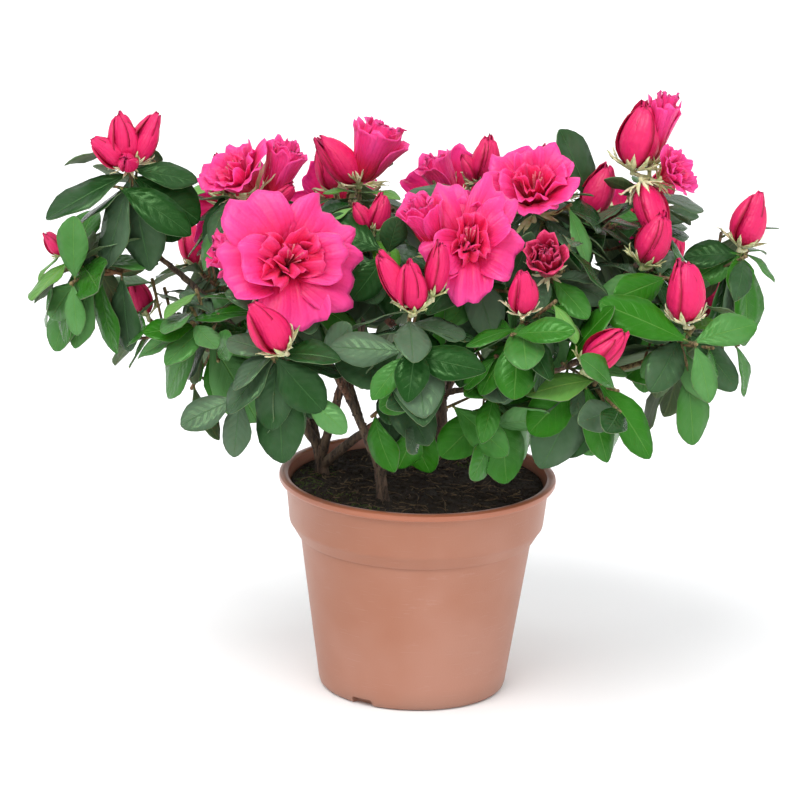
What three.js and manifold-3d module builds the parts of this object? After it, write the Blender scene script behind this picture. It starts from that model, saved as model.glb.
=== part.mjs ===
import * as THREE from "three";
import { mergeVertices } from "three/addons/utils/BufferGeometryUtils.js";
import Module from "manifold-3d";

// Potted azalea shrub, in millimetres. +Z is up, -Y faces the viewer, and the origin is the centre
// of the pot's flat underside.

const wasm = await Module();
wasm.setup();
const { Manifold, Mesh } = wasm;

// Pot
const potHeight = 103;
const footRadius = 44;
const shoulderRadius = 54.4;
const shoulderHeight = 74.6;
const bandLowRadius = 59.4;
const bandLowHeight = 79.6;
const bandTopRadius = 61.8;
const bandTopHeight = 98.6;
const rimRadius = 65;
const wallThickness = 2;
const floorThickness = 3.6;
const potSegments = 24;
const notchAngles = [32, 152, 272];
const notchSize = { width: 11, depth: 9, height: 2.5, inset: 0.5 };

// Roundings: how far in from the foot's or the rim's radius, at a height above the foot or the band
const footRounding = [[3.2, 0], [0.9, 0.9], [0, 3.2]];
const rimRounding = [[0.6, 0.8], [0, 2.6], [1, 4.4], [3.6, 4.4]];

// Soil, and the gap between any two pieces
const soilTop = 95.5;
const fitGap = 0.3;
const shortestEdge = 0.02;
const mergeTolerance = 1e-4;
const hair = 1e-6;

// Stems, boughs and twigs
const stemSides = 6;
const stemStep = 6;
const fewestStemSteps = 5;
const flareHeight = 5;
const flareFall = 3;
const boughSides = 5;
const boughStep = 20;
const fewestBoughSteps = 3;
const boughRadius = { start: 2.3, end: 1.5 };
const boughShareOfParent = 0.92;
const boughArch = 0.14;
const twigSides = 3;
const mainTwigSteps = 2;
const mainTwigRadius = { start: 1.35, end: 1.0 };
const sideTwigRadius = { start: 0.5, end: 0.9 };
const sideTwigFrom = [0.35, 0.68];
const sideTwigAngle = [38, 58];
const sideTwigLength = [16, 24];
const sideTwigLift = 0.15;
const sideTwigTries = 8;
const endDome = 1;
const forkReach = 36;
const tipBend = 0.4;
const crownCore = new THREE.Vector3(0, 0, 118);
const limbRoom = 1.2 * fitGap;
const limbStartRoom = 1.3 * fitGap;

// Leaves
const growthSeed = 1;
const goldenAngle = 137.5;
const facingPull = 38;
const leafSag = 0.42;
const firstLeaf = 3.4;
const leafPitch = 2.8;
const leafWidthShare = 0.29;
const leafThickness = 1.1;
const youngLeafAngle = 58;
const oldLeafAngle = 132;
const leafAngleSpread = 8;
const youngLeafShare = 0.66;
const sideLeafShare = 0.86;
const leafLengthSpread = [0.88, 1.06];
const leafDroop = [0.1, 0.3];
const leafFold = 0.16;
const skyPull = 0.7;
const widestAlong = 0.54;
const tipWidthShare = 0.46;
const thickestAlong = 0.42;
const mainLeaves = 8;
const sideLeaves = 5;
const leafShares = [1, 0.88, 0.76, 0.66];
const leafTurns = [0, 22, -22, 44, -44];

// Clearances that a spray keeps
const nearLimbs = 110;
const potClearance = { above: 2, beside: 1.5 };
const leafClearance = { limb: 1, bend: 1.5, leaf: 1.8, bloom: 0.5, root: 0.15 };
const twigEndClearance = 3.6;

// Blooms: each ring's radius as a share of the bloom's size, its height as a length and a share of
// the size, and how deep its lobes are. The middle is a height, the ball a radius, given alike.
const stalkRings = [[0, -1, 0], [1.3, 3, 0]];
const bloomShares = [1, 0.9, 0.8, 0.7];
const bloomSpin = 60;
const bloomKinds = {
  bud: {
    sides: 5,
    lobes: 5,
    middle: [4, 0.45],
    ball: 0.3,
    rings: [[0.27, 4, 0.3, 0], [0.23, 4, 0.66, 0.08], [0, 3, 1, 0]],
  },
  half: {
    sides: 8,
    lobes: 4,
    middle: [4, 0.45],
    ball: 0.3,
    rings: [[0.2, 4, 0.3, 0], [0.36, 4, 0.92, 0.22], [0, 4, 0.8, 0]],
  },
  flower: {
    sides: 10,
    lobes: 5,
    middle: [8, 0.15],
    ball: 0.4,
    rings: [[0.1, 6, 0, 0], [0.46, 6, 0.13, 0.1], [0.22, 9, 0.16, 0.2], [0, 8, 0.06, 0]],
  },
};

// Stems: place on the soil, top of the stem, radius at the foot and at the top, spread of the foot
const stems = [
  {
    name: "left_stem",
    foot: [-45, 13], top: [-48, 12, 113], radius: 3.3, topRadius: 2.7, flare: 1.6,
  },
  {
    name: "front_stem",
    foot: [-16, -29], top: [-19, -27, 117], radius: 3.1, topRadius: 2.6, flare: 1.8,
  },
  {
    name: "back_stem",
    foot: [11, 42], top: [9, 36, 146], radius: 3.4, topRadius: 2.5, flare: 1.5,
  },
  {
    name: "right_stem",
    foot: [42, 10], top: [46, 2, 134], radius: 3, topRadius: 2.4, flare: 1.4,
  },
];

// Boughs and the sprays at their ends. A bough leaves its parent at a share of the parent's
// length. A spray's tip is where its flowers stand, and its twig leans that way there. Bearings
// run from +X towards +Y and tilts from straight up, in degrees. Leaf is a length. A bloom is its
// kind, size, bearing and tilt; facing draws the leaves to a bearing, and room moves the border
// with a neighbour outwards.
const boughs = [
  {
    name: "left_bough",
    parent: "left_stem",
    leave: 0.9,
    sprays: [
      {
        name: "left_crest_spray", tip: [-137, -10, 250], lean: [180, 8], leaf: 43,
        facing: 250,
        blooms: [["bud", 23, 175, 12], ["bud", 20, 190, 52], ["half", 24, 5, 28]],
      },
      {
        name: "left_tip_spray", tip: [-166, -6, 204], lean: [185, 35], leaf: 38,
        facing: 240,
        blooms: [],
      },
    ],
  },
  {
    name: "left_low_bough",
    parent: "left_bough",
    leave: 0.3,
    sprays: [
      {
        name: "left_low_spray", tip: [-106, -42, 186], lean: [215, 42], leaf: 38,
        blooms: [],
      },
      {
        name: "left_side_spray", tip: [-128, 22, 168], lean: [170, 50], leaf: 37,
        blooms: [["bud", 19, 160, 25]],
      },
    ],
  },
  {
    name: "left_back_bough",
    parent: "left_stem",
    leave: 0.7,
    sprays: [
      {
        name: "back_left_low_spray", tip: [-106, 66, 180], lean: [145, 45], leaf: 39,
        blooms: [["bud", 22, 140, 25]],
      },
      {
        name: "back_left_high_spray", tip: [-90, 46, 222], lean: [130, 20], leaf: 39,
        blooms: [["flower", 46, 120, 45], ["bud", 20, 200, 20]],
      },
    ],
  },
  {
    name: "left_inner_bough",
    parent: "left_stem",
    leave: 0.52,
    sprays: [
      {
        name: "top_left_middle_spray", tip: [-31, 8, 239], lean: [90, 8], leaf: 36,
        blooms: [["bud", 24, 185, 30], ["flower", 42, 45, 30]],
      },
      {
        name: "middle_small_spray", tip: [-24, -35, 228], lean: [270, 15], leaf: 32,
        blooms: [["bud", 17, 5, 14]],
      },
    ],
  },
  {
    name: "low_bough",
    parent: "left_stem",
    leave: 0.3,
    sprays: [
      {
        name: "front_low_spray", tip: [34, -72, 160], lean: [285, 62], leaf: 39,
        seed: 44,
        blooms: [],
      },
      {
        name: "front_right_spray", tip: [45, -92, 207], lean: [275, 25], leaf: 37,
        blooms: [["bud", 22, 265, 16]],
      },
    ],
  },
  {
    name: "front_left_bough",
    parent: "front_stem",
    leave: 0.9,
    sprays: [
      {
        name: "front_left_spray", tip: [-68, -90, 186], lean: [255, 35], leaf: 42,
        blooms: [["bud", 25, 195, 42]],
      },
      {
        name: "big_flower_spray", tip: [-66, -60, 219], lean: [262, 25], leaf: 39,
        room: 12,
        blooms: [["flower", 57, 288, 60], ["half", 28, 185, 74]],
      },
    ],
  },
  {
    name: "front_right_bough",
    parent: "front_stem",
    leave: 0.66,
    sprays: [
      {
        name: "low_middle_spray", tip: [-12, -62, 160], lean: [262, 55], leaf: 40,
        blooms: [],
      },
      {
        name: "front_middle_spray", tip: [-6, -95, 207], lean: [270, 22], leaf: 43,
        blooms: [["bud", 22, 190, 28], ["bud", 24, 265, 18], ["bud", 26, 355, 18]],
      },
    ],
  },
  {
    name: "top_left_bough",
    parent: "front_left_bough",
    leave: 0.3,
    sprays: [
      {
        name: "top_left_spray", tip: [-75, -22, 236], lean: [220, 10], leaf: 37,
        blooms: [["flower", 38, 215, 42], ["half", 27, 5, 16]],
      },
    ],
  },
  {
    name: "centre_bough",
    parent: "back_stem",
    leave: 0.74,
    sprays: [
      {
        name: "middle_flower_spray", tip: [20, -62, 224], lean: [275, 15], leaf: 37,
        room: 12,
        blooms: [["flower", 52, 285, 52], ["half", 27, 70, 14], ["half", 24, 188, 48]],
      },
      {
        name: "top_right_middle_spray", tip: [25, 2, 243], lean: [60, 10], leaf: 34,
        blooms: [["bud", 21, 355, 8]],
      },
    ],
  },
  {
    name: "back_left_bough",
    parent: "back_stem",
    leave: 0.84,
    sprays: [
      {
        name: "back_middle_left_low_spray", tip: [-60, 106, 172], lean: [118, 45], leaf: 39,
        seed: 43,
        blooms: [["bud", 23, 110, 20]],
      },
      {
        name: "back_middle_left_high_spray", tip: [-42, 72, 218], lean: [110, 20], leaf: 38,
        blooms: [["flower", 44, 105, 48], ["bud", 21, 200, 22]],
      },
    ],
  },
  {
    name: "back_centre_bough",
    parent: "back_stem",
    leave: 0.94,
    sprays: [
      {
        name: "back_middle_low_spray", tip: [2, 126, 170], lean: [88, 45], leaf: 40,
        blooms: [["bud", 22, 70, 30]],
      },
      {
        name: "back_middle_high_spray", tip: [12, 86, 216], lean: [80, 18], leaf: 38,
        room: 4,
        blooms: [["flower", 50, 85, 50], ["half", 25, 190, 32]],
      },
    ],
  },
  {
    name: "back_right_bough",
    parent: "back_stem",
    leave: 0.64,
    sprays: [
      {
        name: "back_middle_right_low_spray", tip: [64, 110, 174], lean: [60, 45], leaf: 39,
        blooms: [["bud", 24, 60, 25]],
      },
      {
        name: "back_middle_right_high_spray", tip: [62, 66, 220], lean: [65, 18], leaf: 38,
        blooms: [["bud", 22, 20, 30], ["bud", 24, 110, 30]],
      },
    ],
  },
  {
    name: "right_bough",
    parent: "right_stem",
    leave: 0.92,
    sprays: [
      {
        name: "right_crest_spray", tip: [103, -5, 251], lean: [10, 8], leaf: 40,
        facing: 270, room: 6,
        blooms: [
          ["bud", 31, 165, 22],
          ["half", 34, 15, 18],
          ["flower", 36, 345, 58],
          ["half", 24, 265, 88],
        ],
      },
      {
        name: "right_tip_spray", tip: [150, 0, 216], lean: [0, 20], leaf: 39,
        facing: 290,
        blooms: [["bud", 26, 10, 18]],
      },
    ],
  },
  {
    name: "right_back_bough",
    parent: "right_stem",
    leave: 0.78,
    sprays: [
      {
        name: "back_right_low_spray", tip: [112, 68, 180], lean: [35, 45], leaf: 39,
        blooms: [["bud", 22, 40, 30]],
      },
      {
        name: "back_right_high_spray", tip: [106, 44, 222], lean: [35, 18], leaf: 38,
        blooms: [["flower", 44, 55, 50], ["bud", 22, 330, 24]],
      },
    ],
  },
  {
    name: "right_front_bough",
    parent: "right_stem",
    leave: 0.62,
    sprays: [
      {
        name: "right_front_spray", tip: [80, -88, 178], lean: [285, 40], leaf: 42,
        blooms: [["bud", 22, 350, 36]],
      },
      {
        name: "right_side_spray", tip: [124, -58, 195], lean: [320, 30], leaf: 42,
        seed: 54,
        blooms: [["bud", 27, 20, 10]],
      },
    ],
  },
  {
    name: "right_middle_bough",
    parent: "right_bough",
    leave: 0.32,
    sprays: [
      {
        name: "right_upper_spray", tip: [105, -26, 214], lean: [300, 18], leaf: 38,
        blooms: [["bud", 24, 20, 16]],
      },
      {
        name: "right_bud_spray", tip: [79, 15, 227], lean: [300, 8], leaf: 37,
        blooms: [["bud", 26, 15, 18]],
      },
    ],
  },
  {
    name: "dark_flower_bough",
    parent: "right_stem",
    leave: 0.7,
    sprays: [
      {
        name: "dark_flower_spray", tip: [59, -60, 218], lean: [280, 25], leaf: 37,
        blooms: [["half", 23, 265, 52]],
      },
      {
        name: "centre_right_spray", tip: [55, -24, 240], lean: [300, 10], leaf: 36,
        room: 8,
        blooms: [["flower", 46, 280, 34]],
      },
    ],
  },
  {
    name: "right_low_bough",
    parent: "right_back_bough",
    leave: 0.3,
    sprays: [
      {
        name: "right_low_spray", tip: [132, 26, 172], lean: [20, 50], leaf: 38,
        blooms: [["bud", 20, 20, 25]],
      },
    ],
  },
];

const vec = (x, y, z) => new THREE.Vector3(x, y, z);
const up = vec(0, 0, 1);

// A seeded run of numbers between 0 and 1, the same on every machine.
class Dice {
  static step = 48271;

  static range = 2147483647;

  static spread = 7919;

  static start = 101;

  constructor(seed) {
    this.state = Dice.spread * seed + Dice.start;
  }

  roll(low = 0, high = 1) {
    this.state = (this.state * Dice.step) % Dice.range;
    return low + (high - low) * (this.state / Dice.range);
  }
}

function heading(bearing, tilt) {
  const turn = THREE.MathUtils.degToRad(bearing);
  const lean = THREE.MathUtils.degToRad(tilt);
  return vec(Math.cos(turn) * Math.sin(lean), Math.sin(turn) * Math.sin(lean), Math.cos(lean));
}

// A direction at an angle from an axis, turned about it from the side that lies nearest +X.
function offAxis(axis, turn, angle) {
  const level = Math.abs(axis.y) > 0.9 ? up : vec(0, 1, 0);
  const side = new THREE.Vector3().crossVectors(level, axis).normalize();
  const other = new THREE.Vector3().crossVectors(axis, side);
  const round = THREE.MathUtils.degToRad(turn);
  const open = THREE.MathUtils.degToRad(angle);
  return axis.clone().multiplyScalar(Math.cos(open))
    .addScaledVector(side, Math.sin(open) * Math.cos(round))
    .addScaledVector(other, Math.sin(open) * Math.sin(round));
}

// Solids from geometries and back

function merged(geometry) {
  const bare = geometry.clone();
  bare.deleteAttribute("normal");
  bare.deleteAttribute("uv");
  const joined = mergeVertices(bare, mergeTolerance);
  const corners = [];
  for (let i = 0; i < joined.index.count; i += 3) {
    const face = [0, 1, 2].map((k) => joined.index.getX(i + k));
    if (new Set(face).size === 3) corners.push(...face);
  }
  joined.setIndex(corners);
  return joined;
}

function solidOf(geometry) {
  const closed = merged(geometry);
  const vertProperties = new Float32Array(closed.attributes.position.array);
  const triVerts = new Uint32Array(closed.index.array);
  return new Manifold(new Mesh({ numProp: 3, vertProperties, triVerts }));
}

function geometryOf(solid) {
  const mesh = solid.getMesh();
  const geometry = new THREE.BufferGeometry();
  geometry.setAttribute("position", new THREE.BufferAttribute(mesh.vertProperties, 3));
  geometry.setIndex(new THREE.BufferAttribute(mesh.triVerts, 1));
  return geometry;
}

function largest(solid) {
  const pieces = solid.decompose();
  return pieces.reduce((best, piece) => (piece.volume() > best.volume() ? piece : best));
}

// Limbs: a cylinder bent along a planar curve, with its radius given along the way

class Limb {
  constructor(from, bend, to, sides, steps, radiusAt) {
    this.curve = new THREE.QuadraticBezierCurve3(from, bend, to);
    this.sides = sides;
    this.steps = steps;
    this.radiusAt = radiusAt;
    const out = new THREE.Vector3().subVectors(bend, from);
    this.flat = new THREE.Vector3().crossVectors(out, new THREE.Vector3().subVectors(to, bend));
    const straight = this.flat.length() < 1e-3;
    if (straight) this.flat.crossVectors(out, Math.abs(out.z) > out.length() / 2 ? vec(1, 0, 0) : up);
    this.flat.normalize();
  }

  geometry(grow = 0) {
    const shape = new THREE.CylinderGeometry(1, 1, 1, this.sides, this.steps);
    const places = shape.attributes.position;
    for (let i = 0; i < places.count; i += 1) {
      const along = places.getY(i) + 0.5;
      const ahead = this.curve.getTangent(along);
      const across = new THREE.Vector3().crossVectors(this.flat, ahead);
      const radius = this.radiusAt(along) + grow;
      const centre = this.curve.getPoint(along);
      const onAxis = Math.hypot(places.getX(i), places.getZ(i)) < hair;
      if (onAxis && along > 1 - hair) centre.addScaledVector(ahead, endDome + grow);
      centre.addScaledVector(this.flat, radius * places.getX(i));
      centre.addScaledVector(across, radius * places.getZ(i));
      places.setXYZ(i, centre.x, centre.y, centre.z);
    }
    return shape;
  }

  // The middle of the straight-sided solid, between the rings that lie on the curve.
  middleAt(along) {
    const ring = Math.min(this.steps - 1, Math.floor(along * this.steps));
    const next = this.curve.getPoint((ring + 1) / this.steps);
    return this.curve.getPoint(ring / this.steps).lerp(next, along * this.steps - ring);
  }

  samples() {
    const spacing = 2.5;
    const count = Math.ceil(this.curve.getLength() / spacing);
    return Array.from({ length: count + 1 }, (_, i) => ({
      place: this.curve.getPoint(i / count),
      radius: this.radiusAt(i / count),
    }));
  }
}

const tapered = ({ start, end }) => (along) => start + (end - start) * along;

function stemLimb(row) {
  const foot = vec(row.foot[0], row.foot[1], soilTop + fitGap);
  const top = vec(...row.top);
  const bend = vec(foot.x, foot.y, (foot.z + top.z) / 2);
  const length = foot.distanceTo(top);
  const taper = tapered({ start: row.radius, end: row.topRadius });
  const flare = (along) => row.flare * Math.exp(-flareFall * (along * length) / flareHeight);
  const steps = Math.max(fewestStemSteps, Math.round(length / stemStep));
  return new Limb(foot, bend, top, stemSides, steps, (along) => taper(along) + flare(along));
}

// Where a bough ends: short of the middle of its sprays' tips, on the way to the crown's core.
function forkOf(bough) {
  const middle = bough.sprays.reduce((sum, spray) => sum.add(vec(...spray.tip)), vec(0, 0, 0))
    .divideScalar(bough.sprays.length);
  const inwards = new THREE.Vector3().subVectors(crownCore, middle).setLength(forkReach);
  return middle.add(inwards);
}

function boughLimb(bough, parent) {
  const from = parent.curve.getPoint(bough.leave);
  const start = Math.min(boughRadius.start, boughShareOfParent * parent.radiusAt(bough.leave));
  const to = forkOf(bough);
  const length = from.distanceTo(to);
  const bend = from.clone().lerp(to, 0.5);
  bend.z += boughArch * length;
  const steps = Math.max(fewestBoughSteps, Math.round(length / boughStep));
  return new Limb(from, bend, to, boughSides, steps, tapered({ start, end: boughRadius.end }));
}

// The space that one spray keeps to: flat borders with its neighbours, off the pot and the limbs

class Space {
  constructor(spray, others, limbPoints) {
    this.borders = others.map((other) => borderBetween(spray, other));
    this.limbPoints = limbPoints.filter(({ place }) => place.distanceTo(spray.tip) < nearLimbs);
    this.blades = [];
    this.blooms = [];
  }

  holds(point) {
    const offPot = point.z > potHeight + potClearance.above
      || Math.hypot(point.x, point.y) > rimRadius + potClearance.beside;
    return offPot && this.borders.every((border) => border.distanceToPoint(point) > fitGap / 2);
  }

  holdsAll(geometry) {
    const places = geometry.attributes.position;
    for (let i = 0; i < places.count; i += 1) {
      if (!this.holds(new THREE.Vector3().fromBufferAttribute(places, i))) return false;
    }
    return true;
  }

  // True where a limb runs through the box round a blade.
  bladeMeetsLimb(blade) {
    const back = blade.frame.clone().invert();
    return this.limbPoints.some(({ place, radius }) => {
      const local = place.clone().applyMatrix4(back);
      const reach = radius + leafClearance.limb;
      return local.x > -reach && local.x < blade.length + reach
        && Math.abs(local.y) < blade.halfWidth + reach
        && Math.abs(riseOver(blade, local)) < reach + leafClearance.bend;
    });
  }

  // True where two blades of one spray would cut through each other past their roots.
  bladesCross(blade, other) {
    const back = other.frame.clone().invert();
    return [0.3, 0.5, 0.7, 0.9].some((share) => [-0.75, 0, 0.75].some((side) => {
      const local = placeOn(blade, share, side).applyMatrix4(back);
      const along = local.x / other.length;
      return along > leafClearance.root && along < 1
        && Math.abs(local.y) < other.halfWidth
        && Math.abs(riseOver(other, local)) < leafClearance.leaf;
    }));
  }

  bladeMeetsBloom(blade) {
    return [0.4, 0.7, 1].some((share) => {
      const point = placeOn(blade, share, 0);
      return this.blooms.some(({ centre, radius }) => (
        centre.distanceTo(point) < radius + leafClearance.bloom
      ));
    });
  }

  twigEndMeetsLimb(end) {
    return this.limbPoints.some(({ place, radius }) => (
      place.distanceTo(end) < radius + twigEndClearance
    ));
  }
}

// Two sprays of one bough part at a plane through its end, all others halfway between their tips.
function borderBetween(spray, other) {
  const share = (spray.room - other.room) / 2;
  if (spray.bough === other.bough) {
    const turn = new THREE.Vector3().crossVectors(spray.axis, other.axis);
    const middle = spray.axis.clone().multiplyScalar(forkReach - share)
      .addScaledVector(other.axis, forkReach + share);
    const normal = middle.cross(turn).normalize();
    return new THREE.Plane().setFromNormalAndCoplanarPoint(normal, spray.fork);
  }
  const normal = new THREE.Vector3().subVectors(spray.tip, other.tip).normalize();
  const middle = spray.tip.clone().lerp(other.tip, 0.5).addScaledVector(normal, -share);
  return new THREE.Plane().setFromNormalAndCoplanarPoint(normal, middle);
}

// Leaves: a flat five-sided ball drawn out into a blade with a blunt tip

function bladeShape(length, halfWidth, droop) {
  const shape = new THREE.SphereGeometry(1, 5, 2);
  const places = shape.attributes.position;
  const outline = [[0, 0], [widestAlong, 1], [1, tipWidthShare]];
  for (let i = 0; i < places.count; i += 1) {
    const pole = Math.round(places.getY(i));
    const onEdge = pole === 0;
    const [along, width] = onEdge ? outline[Math.round(places.getX(i) + 1)] : [thickestAlong, 0];
    const side = -Math.sign(places.getZ(i)) * width * halfWidth;
    const rise = (pole * leafThickness) / 2 + leafFold * Math.abs(side) - droop * length * along ** 2;
    places.setXYZ(i, along * length, side, rise);
  }
  return shape;
}

// The frame of a blade: X along it, Z its upper face, turned towards the sky.
function bladeFrame(root, ahead, face) {
  const across = new THREE.Vector3().crossVectors(face, ahead).normalize();
  const normal = new THREE.Vector3().crossVectors(ahead, across);
  return new THREE.Matrix4().makeBasis(ahead, across, normal).setPosition(root);
}

function placeOn(blade, share, side) {
  const drop = blade.droop * blade.length * share ** 2;
  return vec(share * blade.length, side * blade.halfWidth, -drop).applyMatrix4(blade.frame);
}

// How far a place in a blade's frame lies above the drooping blade.
function riseOver(blade, local) {
  return local.z + blade.droop * (local.x / blade.length) ** 2 * blade.length;
}

function leafOn(place, axis, turn, angle, length, space, dice) {
  const droop = dice.roll(...leafDroop);
  const face = axis.clone().multiplyScalar(Math.sin(THREE.MathUtils.degToRad(angle)))
    .addScaledVector(up, skyPull);
  for (const share of leafShares) {
    for (const shift of leafTurns) {
      const ahead = offAxis(axis, turn + shift, angle);
      ahead.z -= leafSag;
      ahead.normalize();
      const size = share * length;
      const halfWidth = size * leafWidthShare;
      const leaf = { frame: bladeFrame(place, ahead, face), length: size, halfWidth, droop };
      const shape = bladeShape(size, halfWidth, droop).applyMatrix4(leaf.frame);
      const crossed = space.blades.some((other) => (
        space.bladesCross(leaf, other) || space.bladesCross(other, leaf)
      ));
      const hit = crossed || space.bladeMeetsBloom(leaf) || space.bladeMeetsLimb(leaf);
      if (!hit && space.holdsAll(shape)) {
        space.blades.push(leaf);
        return shape;
      }
    }
  }
  return null;
}

// A shoot's leaves stand round its last stretch by the golden angle, the youngest at its tip.
function leavesAlong(twig, count, length, facing, space, dice) {
  const shapes = [];
  const reach = twig.curve.getLength();
  let turn = dice.roll(0, 360);
  for (let k = 0; k < count; k += 1) {
    turn += goldenAngle;
    const drawn = turn - facingPull * Math.sin(THREE.MathUtils.degToRad(turn - facing));
    const along = 1 - (firstLeaf + leafPitch * k) / reach;
    const age = k / (count - 1);
    const angle = youngLeafAngle + (oldLeafAngle - youngLeafAngle) * age
      + dice.roll(-leafAngleSpread, leafAngleSpread);
    const grown = youngLeafShare + (1 - youngLeafShare) * Math.min(1, 2 * age);
    const size = length * grown * dice.roll(...leafLengthSpread);
    const axis = twig.curve.getTangent(along);
    const shape = leafOn(twig.middleAt(along), axis, drawn, angle, size, space, dice);
    if (shape) shapes.push(shape);
  }
  return shapes;
}

// Blooms: a ball whose rings are drawn out to given radii and heights, with its petals as lobes

function ringedShape(rings, sides, lobes) {
  const last = rings.length - 1;
  const shape = new THREE.SphereGeometry(1, sides, last);
  const places = shape.attributes.position;
  for (let i = 0; i < places.count; i += 1) {
    const fromTop = Math.acos(THREE.MathUtils.clamp(places.getY(i), -1, 1)) / Math.PI;
    const turn = Math.atan2(-places.getZ(i), places.getX(i));
    const [radius, height, lobed] = rings[last - Math.round(last * fromTop)];
    const reach = radius * (1 + lobed * Math.cos(lobes * turn));
    places.setXYZ(i, reach * Math.cos(turn), reach * Math.sin(turn), height);
  }
  return shape;
}

function stoodUp(shape, base, ahead, spin) {
  const turn = new THREE.Quaternion().setFromUnitVectors(up, ahead);
  shape.rotateZ(THREE.MathUtils.degToRad(spin)).applyQuaternion(turn);
  return shape.translate(base.x, base.y, base.z);
}

function bloomShape({ rings, sides, lobes }, size) {
  const sized = rings.map(([radius, foot, rise, lobed]) => (
    [radius * size, foot + rise * size, lobed]
  ));
  return ringedShape([...stalkRings, ...sized], sides, lobes);
}

function bloomOn(tip, [name, fullSize, bearing, tilt], space, dice) {
  const kind = bloomKinds[name];
  const ahead = heading(bearing, tilt);
  const spin = dice.roll(0, bloomSpin);
  for (const share of bloomShares) {
    const size = share * fullSize;
    const shape = stoodUp(bloomShape(kind, size), tip, ahead, spin);
    if (!space.holdsAll(shape)) continue;
    const centre = tip.clone().addScaledVector(ahead, kind.middle[0] + kind.middle[1] * size);
    space.blooms.push({ centre, radius: kind.ball * size });
    return [shape];
  }
  return [];
}

// Sprays

function mainTwig({ fork, bend, tip }) {
  return new Limb(fork, bend, tip, twigSides, mainTwigSteps, tapered(mainTwigRadius));
}

function sideTwig(parent, space, dice) {
  for (let tries = 0; tries < sideTwigTries; tries += 1) {
    const along = dice.roll(...sideTwigFrom);
    const from = parent.middleAt(along);
    const axis = parent.curve.getTangent(along);
    const ahead = offAxis(axis, dice.roll(0, 360), dice.roll(...sideTwigAngle));
    ahead.z += sideTwigLift;
    const to = from.clone().addScaledVector(ahead.normalize(), dice.roll(...sideTwigLength));
    if (space.holds(to) && !space.twigEndMeetsLimb(to)) {
      return new Limb(from, from.clone().lerp(to, 0.5), to, twigSides, 1, tapered(sideTwigRadius));
    }
  }
  return null;
}

function sprayShapes(spray, space) {
  const dice = new Dice(spray.seed);
  const { blooms, leaf, facing, tip } = spray;
  const trunk = mainTwig(spray);
  const shapes = [trunk.geometry()];
  for (const bloom of blooms) shapes.push(...bloomOn(tip, bloom, space, dice));
  shapes.push(...leavesAlong(trunk, mainLeaves, leaf, facing, space, dice));
  const twig = sideTwig(trunk, space, dice);
  if (twig) {
    const sideLeaf = sideLeafShare * leaf;
    shapes.push(twig.geometry());
    shapes.push(...leavesAlong(twig, sideLeaves, sideLeaf, facing, space, dice));
  }
  return shapes;
}

function spraySolid(spray, sprays, limbPoints) {
  const others = sprays.filter((other) => other !== spray);
  const space = new Space(spray, others, limbPoints);
  let solid = Manifold.union(sprayShapes(spray, space).map(solidOf));
  for (const other of others.filter((near) => near.bough === spray.bough)) {
    const border = borderBetween(spray, other);
    solid = solid.trimByPlane(border.normal.toArray(), -border.constant + fitGap / 2);
  }
  return largest(solid.subtract(spray.boughRoom)).simplify(shortestEdge);
}

// Pot and soil

function wallProfile(inset) {
  const rounding = footRounding.map(([inwards, height]) => [footRadius - inwards - inset, height]);
  return [
    ...rounding,
    [shoulderRadius - inset, shoulderHeight],
    [bandLowRadius - inset, bandLowHeight],
    [bandTopRadius - inset, bandTopHeight],
  ];
}

function revolved(profile) {
  const points = profile.map(([radius, height]) => new THREE.Vector2(radius, height));
  return new THREE.LatheGeometry(points, potSegments).rotateX(Math.PI / 2);
}

function potSolid() {
  const inner = wallProfile(wallThickness).slice(footRounding.length).reverse();
  const profile = [
    [0, 0],
    ...wallProfile(0),
    ...rimRounding.map(([inwards, height]) => [rimRadius - inwards, bandTopHeight + height]),
    ...inner,
    [footRadius - wallThickness, floorThickness],
    [0, floorThickness],
  ];
  let pot = solidOf(revolved(profile));
  for (const angle of notchAngles) {
    const turn = THREE.MathUtils.degToRad(-90 - angle);
    const notch = new THREE.BoxGeometry(notchSize.depth, notchSize.width, 2 * notchSize.height);
    notch.translate(footRadius - notchSize.inset, 0, 0).rotateZ(turn);
    pot = pot.subtract(solidOf(notch));
  }
  return pot;
}

function soilSolid() {
  const [foot, shoulder, bandLow] = wallProfile(wallThickness + fitGap).slice(2);
  const slope = (bandTopRadius - bandLowRadius) / (bandTopHeight - bandLowHeight);
  const profile = [
    [0, floorThickness + fitGap],
    [foot[0], floorThickness + fitGap],
    shoulder,
    bandLow,
    [bandLow[0] + slope * (soilTop - bandLowHeight), soilTop],
    [0, soilTop],
  ];
  return solidOf(revolved(profile));
}

// Materials

const finishes = {
  pot: new THREE.MeshStandardMaterial({ color: 0xc78468, roughness: 0.45, metalness: 0 }),
  soil: new THREE.MeshStandardMaterial({ color: 0x2a241c, roughness: 1, metalness: 0 }),
  bark: new THREE.MeshStandardMaterial({ color: 0x6b5140, roughness: 0.85, metalness: 0 }),
  leaf: new THREE.MeshStandardMaterial({ color: 0x2f6a32, roughness: 0.4, metalness: 0 }),
};

const azalea = new THREE.Group();

function addPiece(name, solid, finish) {
  const piece = new THREE.Mesh(geometryOf(solid), finishes[finish]);
  piece.name = name;
  azalea.add(piece);
}

// A limb with the gap all round it, its start included.
function roomRound(limb) {
  const start = limb.curve.getPoint(0);
  const ball = new THREE.IcosahedronGeometry(limb.radiusAt(0) + limbStartRoom, 1);
  ball.translate(start.x, start.y, start.z);
  return solidOf(limb.geometry(limbRoom)).add(solidOf(ball));
}

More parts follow.
